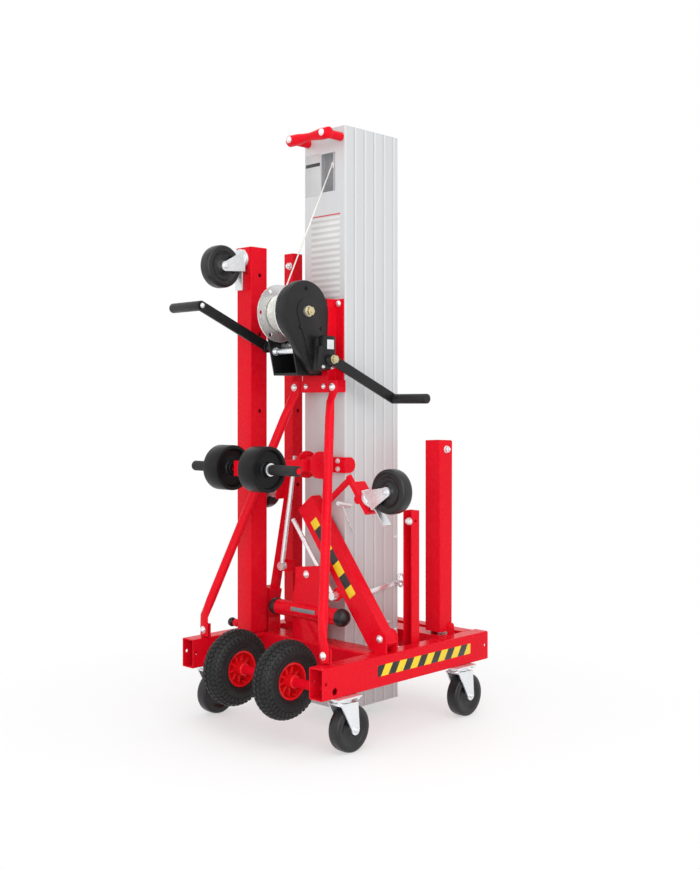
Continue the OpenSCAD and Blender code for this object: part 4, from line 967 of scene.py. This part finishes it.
# %% Tape and plates in place
RAIL_SIDE, TAPE_T = 350.15, 0.4
for side, sign in (("right", 1), ("left", -1)):
    x = sign * RAIL_SIDE
    strip = block((x - TAPE_T / 2, -123, 220), (x + TAPE_T / 2, 362, 256), 0.1)
    single(strip, Matrix(), side + "_rail_tape", "base", RAIL_TAPE, "red_enamel")
pivot = joint_place("right_outrigger_fold")[0]
LEAN = math.radians(38)
leg_turn = Matrix.Translation((pivot.x, 0, pivot.z)) @ Matrix.Rotation(-LEAN, 4, "Y")
strip = block((-42, -74.4, 178), (-8, -74.0, 488), 0.1)
single(strip, leg_turn, "leg_tape_strip", "right_outrigger", LEG_TAPE, "red_enamel")
for name, low, high, look in (
    ("mast_chart", (-66, -19.6, 1472), (76, -19.0, 1758), CHART),
    ("mast_rule", (-66, -19.6, 1764), (78, -19.0, 1769), RULE),
    ("mast_plate", (-96, -19.6, 1842), (-20, -19.0, 1990), PLATE),
    ("mast_strip", (-94, -20.0, 1946), (-22, -19.5, 1958), STRIP),
    ("buffer_plate", (-60, -126.2, 384), (60, -125.4, 398), DARK),
):
    single(block(low, high, 0.2), Matrix(), name, "base", look, "mast_alloy" if "mast" in name else "black_plastic")
print("tape and plates done")

# %% [markdown]
# ## Small hardware
# Lock pins, spring hooks and knobs give the hoist its worked-with look. Each is bent wire or turned bar, swept
# along a short route, and each sits on the tube it belongs to.


# %% Mast hook
HOOK_AT, HOOK_LEAN, QUARTER = (104, 100, 441), math.radians(7), math.pi / 2
RING_AT, RING_STEPS = Vector((111, 262, 466)), 28
bar_turn = Matrix.Rotation(HOOK_LEAN, 4, "X") @ Matrix.Rotation(QUARTER, 4, "Z") @ Matrix.Rotation(QUARTER, 4, "X")
ring = []
for i in range(RING_STEPS + 1):
    a = math.tau * i / RING_STEPS
    ring.append(RING_AT + Vector((0, 17 * math.cos(a), 22 * math.sin(a))))
hooks = bmesh.new()
join(hooks, block((0, -9, -2), (150, 9, 2), 1.2), Matrix.Translation(HOOK_AT) @ bar_turn)
join(hooks, swept(ring, 4.5, 14))
join(hooks, swept([(109, 240, 462), (114, 262, 462), (116, 276, 450), (116, 286, 436)], 5, 14))
for y, z in ((202, 322), (240, 288), (240, 624)):
    join(hooks, hex_bolt(7, 5), stand((100, y, z), RIGHT))
piece(hooks, "mast_hook", "mast_section_5", ZINC, "zinc_plate", sharp=60)

# %% Single bolts, locking pin and knob
for name, body, spot, way in (
    ("bar_end_bolt", "stowed_bar", (-258, 54, 1618), FRONT),
    ("cradle_bolt", "base", (279, 115, 702), FRONT),
    ("right_fork_bolt", "right_fork", (270, 325, 943), RIGHT),
    ("left_fork_bolt", "left_fork", (-270, 325, 943), (-1, 0, 0)),
):
    single(hex_bolt(13, 7), stand(spot, way), name, body, ZINC, "zinc_plate", sharp=32)
pin = bmesh.new()
join(pin, swept([(107, -60, 764), (107, -30, 758), (107, 4, 752)], 8, 20))
join(pin, swept([(107, -40, 760), (107, -10, 700), (107, 18, 657)], 2.2))
piece(pin, "tee_pin", "right_outrigger", ZINC, "zinc_plate", sharp=60)
KNOB_AT = (-338, -143, 308)
knob = turned([(0, 0), (9, 0), (9, 6), (15, 9), (17, 16), (15, 24), (8, 28), (0, 29)], 40)
single(knob, stand(KNOB_AT, (-1, 0, 0)), "leg_pin_knob", "stowed_leg", RUBBER, "black_plastic", sharp=50)
print("hardware done")

# %% [markdown]
# ## Top handle
# The handle is turned: its waist is thinner than its ends. A cosine draws that waist, because a few straight
# steps would show as rings after the spin. Two arms carry the handle from the mast.

# %% Top handle and its bolts
HANDLE_Y, HANDLE_Z, ARM_X = -93, 2032, 81
END_X, END_R, WAIST_R, SWELL, SWELL_X = 101, 19.4, 14.2, 5.7, 72
waist = [(WAIST_R + SWELL * (1 - math.cos(math.pi * min(abs(x) / SWELL_X, 1))) / 2, x) for x in range(-96, 97, 8)]
outline = [(0, -END_X), (17, -END_X), (END_R, -99)] + waist + [(END_R, 99), (17, END_X), (0, END_X)]
handle, bolts = bmesh.new(), bmesh.new()
join(handle, turned(outline, 48), stand((0, HANDLE_Y, HANDLE_Z), RIGHT))
for sign in (-1, 1):
    join(handle, drum(15, 73, 0, 40), stand((sign * ARM_X, HANDLE_Y, HANDLE_Z), (0, 1, 0)))
    join(handle, drum(15, 18, 1.5, 40), stand((sign * ARM_X, HANDLE_Y - 20.5, HANDLE_Z), (0, 1, 0)))
    join(bolts, dome_bolt(12), stand((sign * ARM_X, HANDLE_Y - 20, HANDLE_Z), FRONT))
piece(handle, "lift_handle", "base", RED, "red_enamel", "top_handle", sharp=40)
piece(bolts, "handle_bolts", "base", ZINC, "zinc_plate")

# %% [markdown]
# ## Studio
# The photograph is a product shot on white: soft light from all sides, a brighter lamp on the right, and a
# faint shadow on the floor. The floor turns to plain white away from the hoist. Only the camera and mirror
# images see that white, so it adds no light to the hoist.


# %% Floor, world and lamps
FLOOR_R = 30.0
GLOW_REACH, GLOW_SHARE = (0.4, 1.5), (0.5, 1.0)
SOFT_LIGHT = 0.82


def in_view(tree):
    path = node(tree, "ShaderNodeLightPath")
    shown = path.outputs["Is Camera Ray"]
    for ray in ("Is Glossy Ray", "Is Transmission Ray"):
        either = node(tree, "ShaderNodeMath", operation="MAXIMUM")
        tree.links.new(shown, either.inputs[0])
        tree.links.new(path.outputs[ray], either.inputs[1])
        shown = either.outputs[0]
    return shown


def floor():
    shape = bmesh.new()
    bmesh.ops.create_circle(shape, cap_ends=True, segments=96, radius=FLOOR_R)
    mesh = bpy.data.meshes.new("floor")
    shape.to_mesh(mesh)
    shape.free()
    made = bpy.data.objects.new("floor", mesh)
    bpy.context.scene.collection.objects.link(made)
    material = bpy.data.materials.new("floor_white")
    material.use_nodes = True
    tree = material.node_tree
    skin = tree.nodes["Principled BSDF"]
    skin.inputs["Base Color"].default_value = (0.9, 0.9, 0.9, 1)
    skin.inputs["Roughness"].default_value = 0.7
    glow = node(tree, "ShaderNodeEmission", Strength=1.0)
    glow.inputs["Color"].default_value = (1, 1, 1, 1)
    far = node(tree, "ShaderNodeVectorMath", operation="LENGTH")
    tree.links.new(node(tree, "ShaderNodeTexCoord").outputs["Object"], far.inputs[0])
    share = node(tree, "ShaderNodeMath", operation="MULTIPLY")
    tree.links.new(span(tree, far.outputs["Value"], *GLOW_REACH, *GLOW_SHARE), share.inputs[0])
    tree.links.new(in_view(tree), share.inputs[1])
    mix = node(tree, "ShaderNodeMixShader")
    tree.links.new(share.outputs[0], mix.inputs[0])
    tree.links.new(skin.outputs[0], mix.inputs[1])
    tree.links.new(glow.outputs[0], mix.inputs[2])
    tree.links.new(mix.outputs[0], tree.nodes["Material Output"].inputs["Surface"])
    mesh.materials.append(material)


def lamp(name, place, target, size, watts):
    light = bpy.data.lights.new(name, "AREA")
    light.size = size
    light.energy = watts
    made = bpy.data.objects.new(name, light)
    made.location = place
    made.rotation_euler = (Vector(target) - Vector(place)).to_track_quat("-Z", "Y").to_euler()
    bpy.context.scene.collection.objects.link(made)


def studio_world():
    world = bpy.data.worlds.new("studio")
    bpy.context.scene.world = world
    world.use_nodes = True
    tree = world.node_tree
    soft = tree.nodes["Background"]
    soft.inputs["Color"].default_value = (1, 1, 1, 1)
    soft.inputs["Strength"].default_value = SOFT_LIGHT
    white = node(tree, "ShaderNodeBackground", Strength=1.0, Color=(1, 1, 1, 1))
    mix = node(tree, "ShaderNodeMixShader")
    tree.links.new(in_view(tree), mix.inputs[0])
    tree.links.new(soft.outputs[0], mix.inputs[1])
    tree.links.new(white.outputs[0], mix.inputs[2])
    tree.links.new(mix.outputs[0], tree.nodes["World Output"].inputs["Surface"])


floor()
studio_world()
lamp("key", (3.2, -1.2, 3.4), (0, 0, 0.9), size=2.2, watts=34)
lamp("front", (2.5, -3.0, 1.5), (0, 0, 1.0), size=2.4, watts=46)
lamp("fill", (-1.6, -3.4, 2.2), (0, 0, 1.0), size=2.6, watts=8)
lamp("top", (0.4, -0.4, 4.4), (0, 0, 0.8), size=2.8, watts=24)
bpy.context.scene.view_settings.view_transform = "Standard"
print("studio ready")
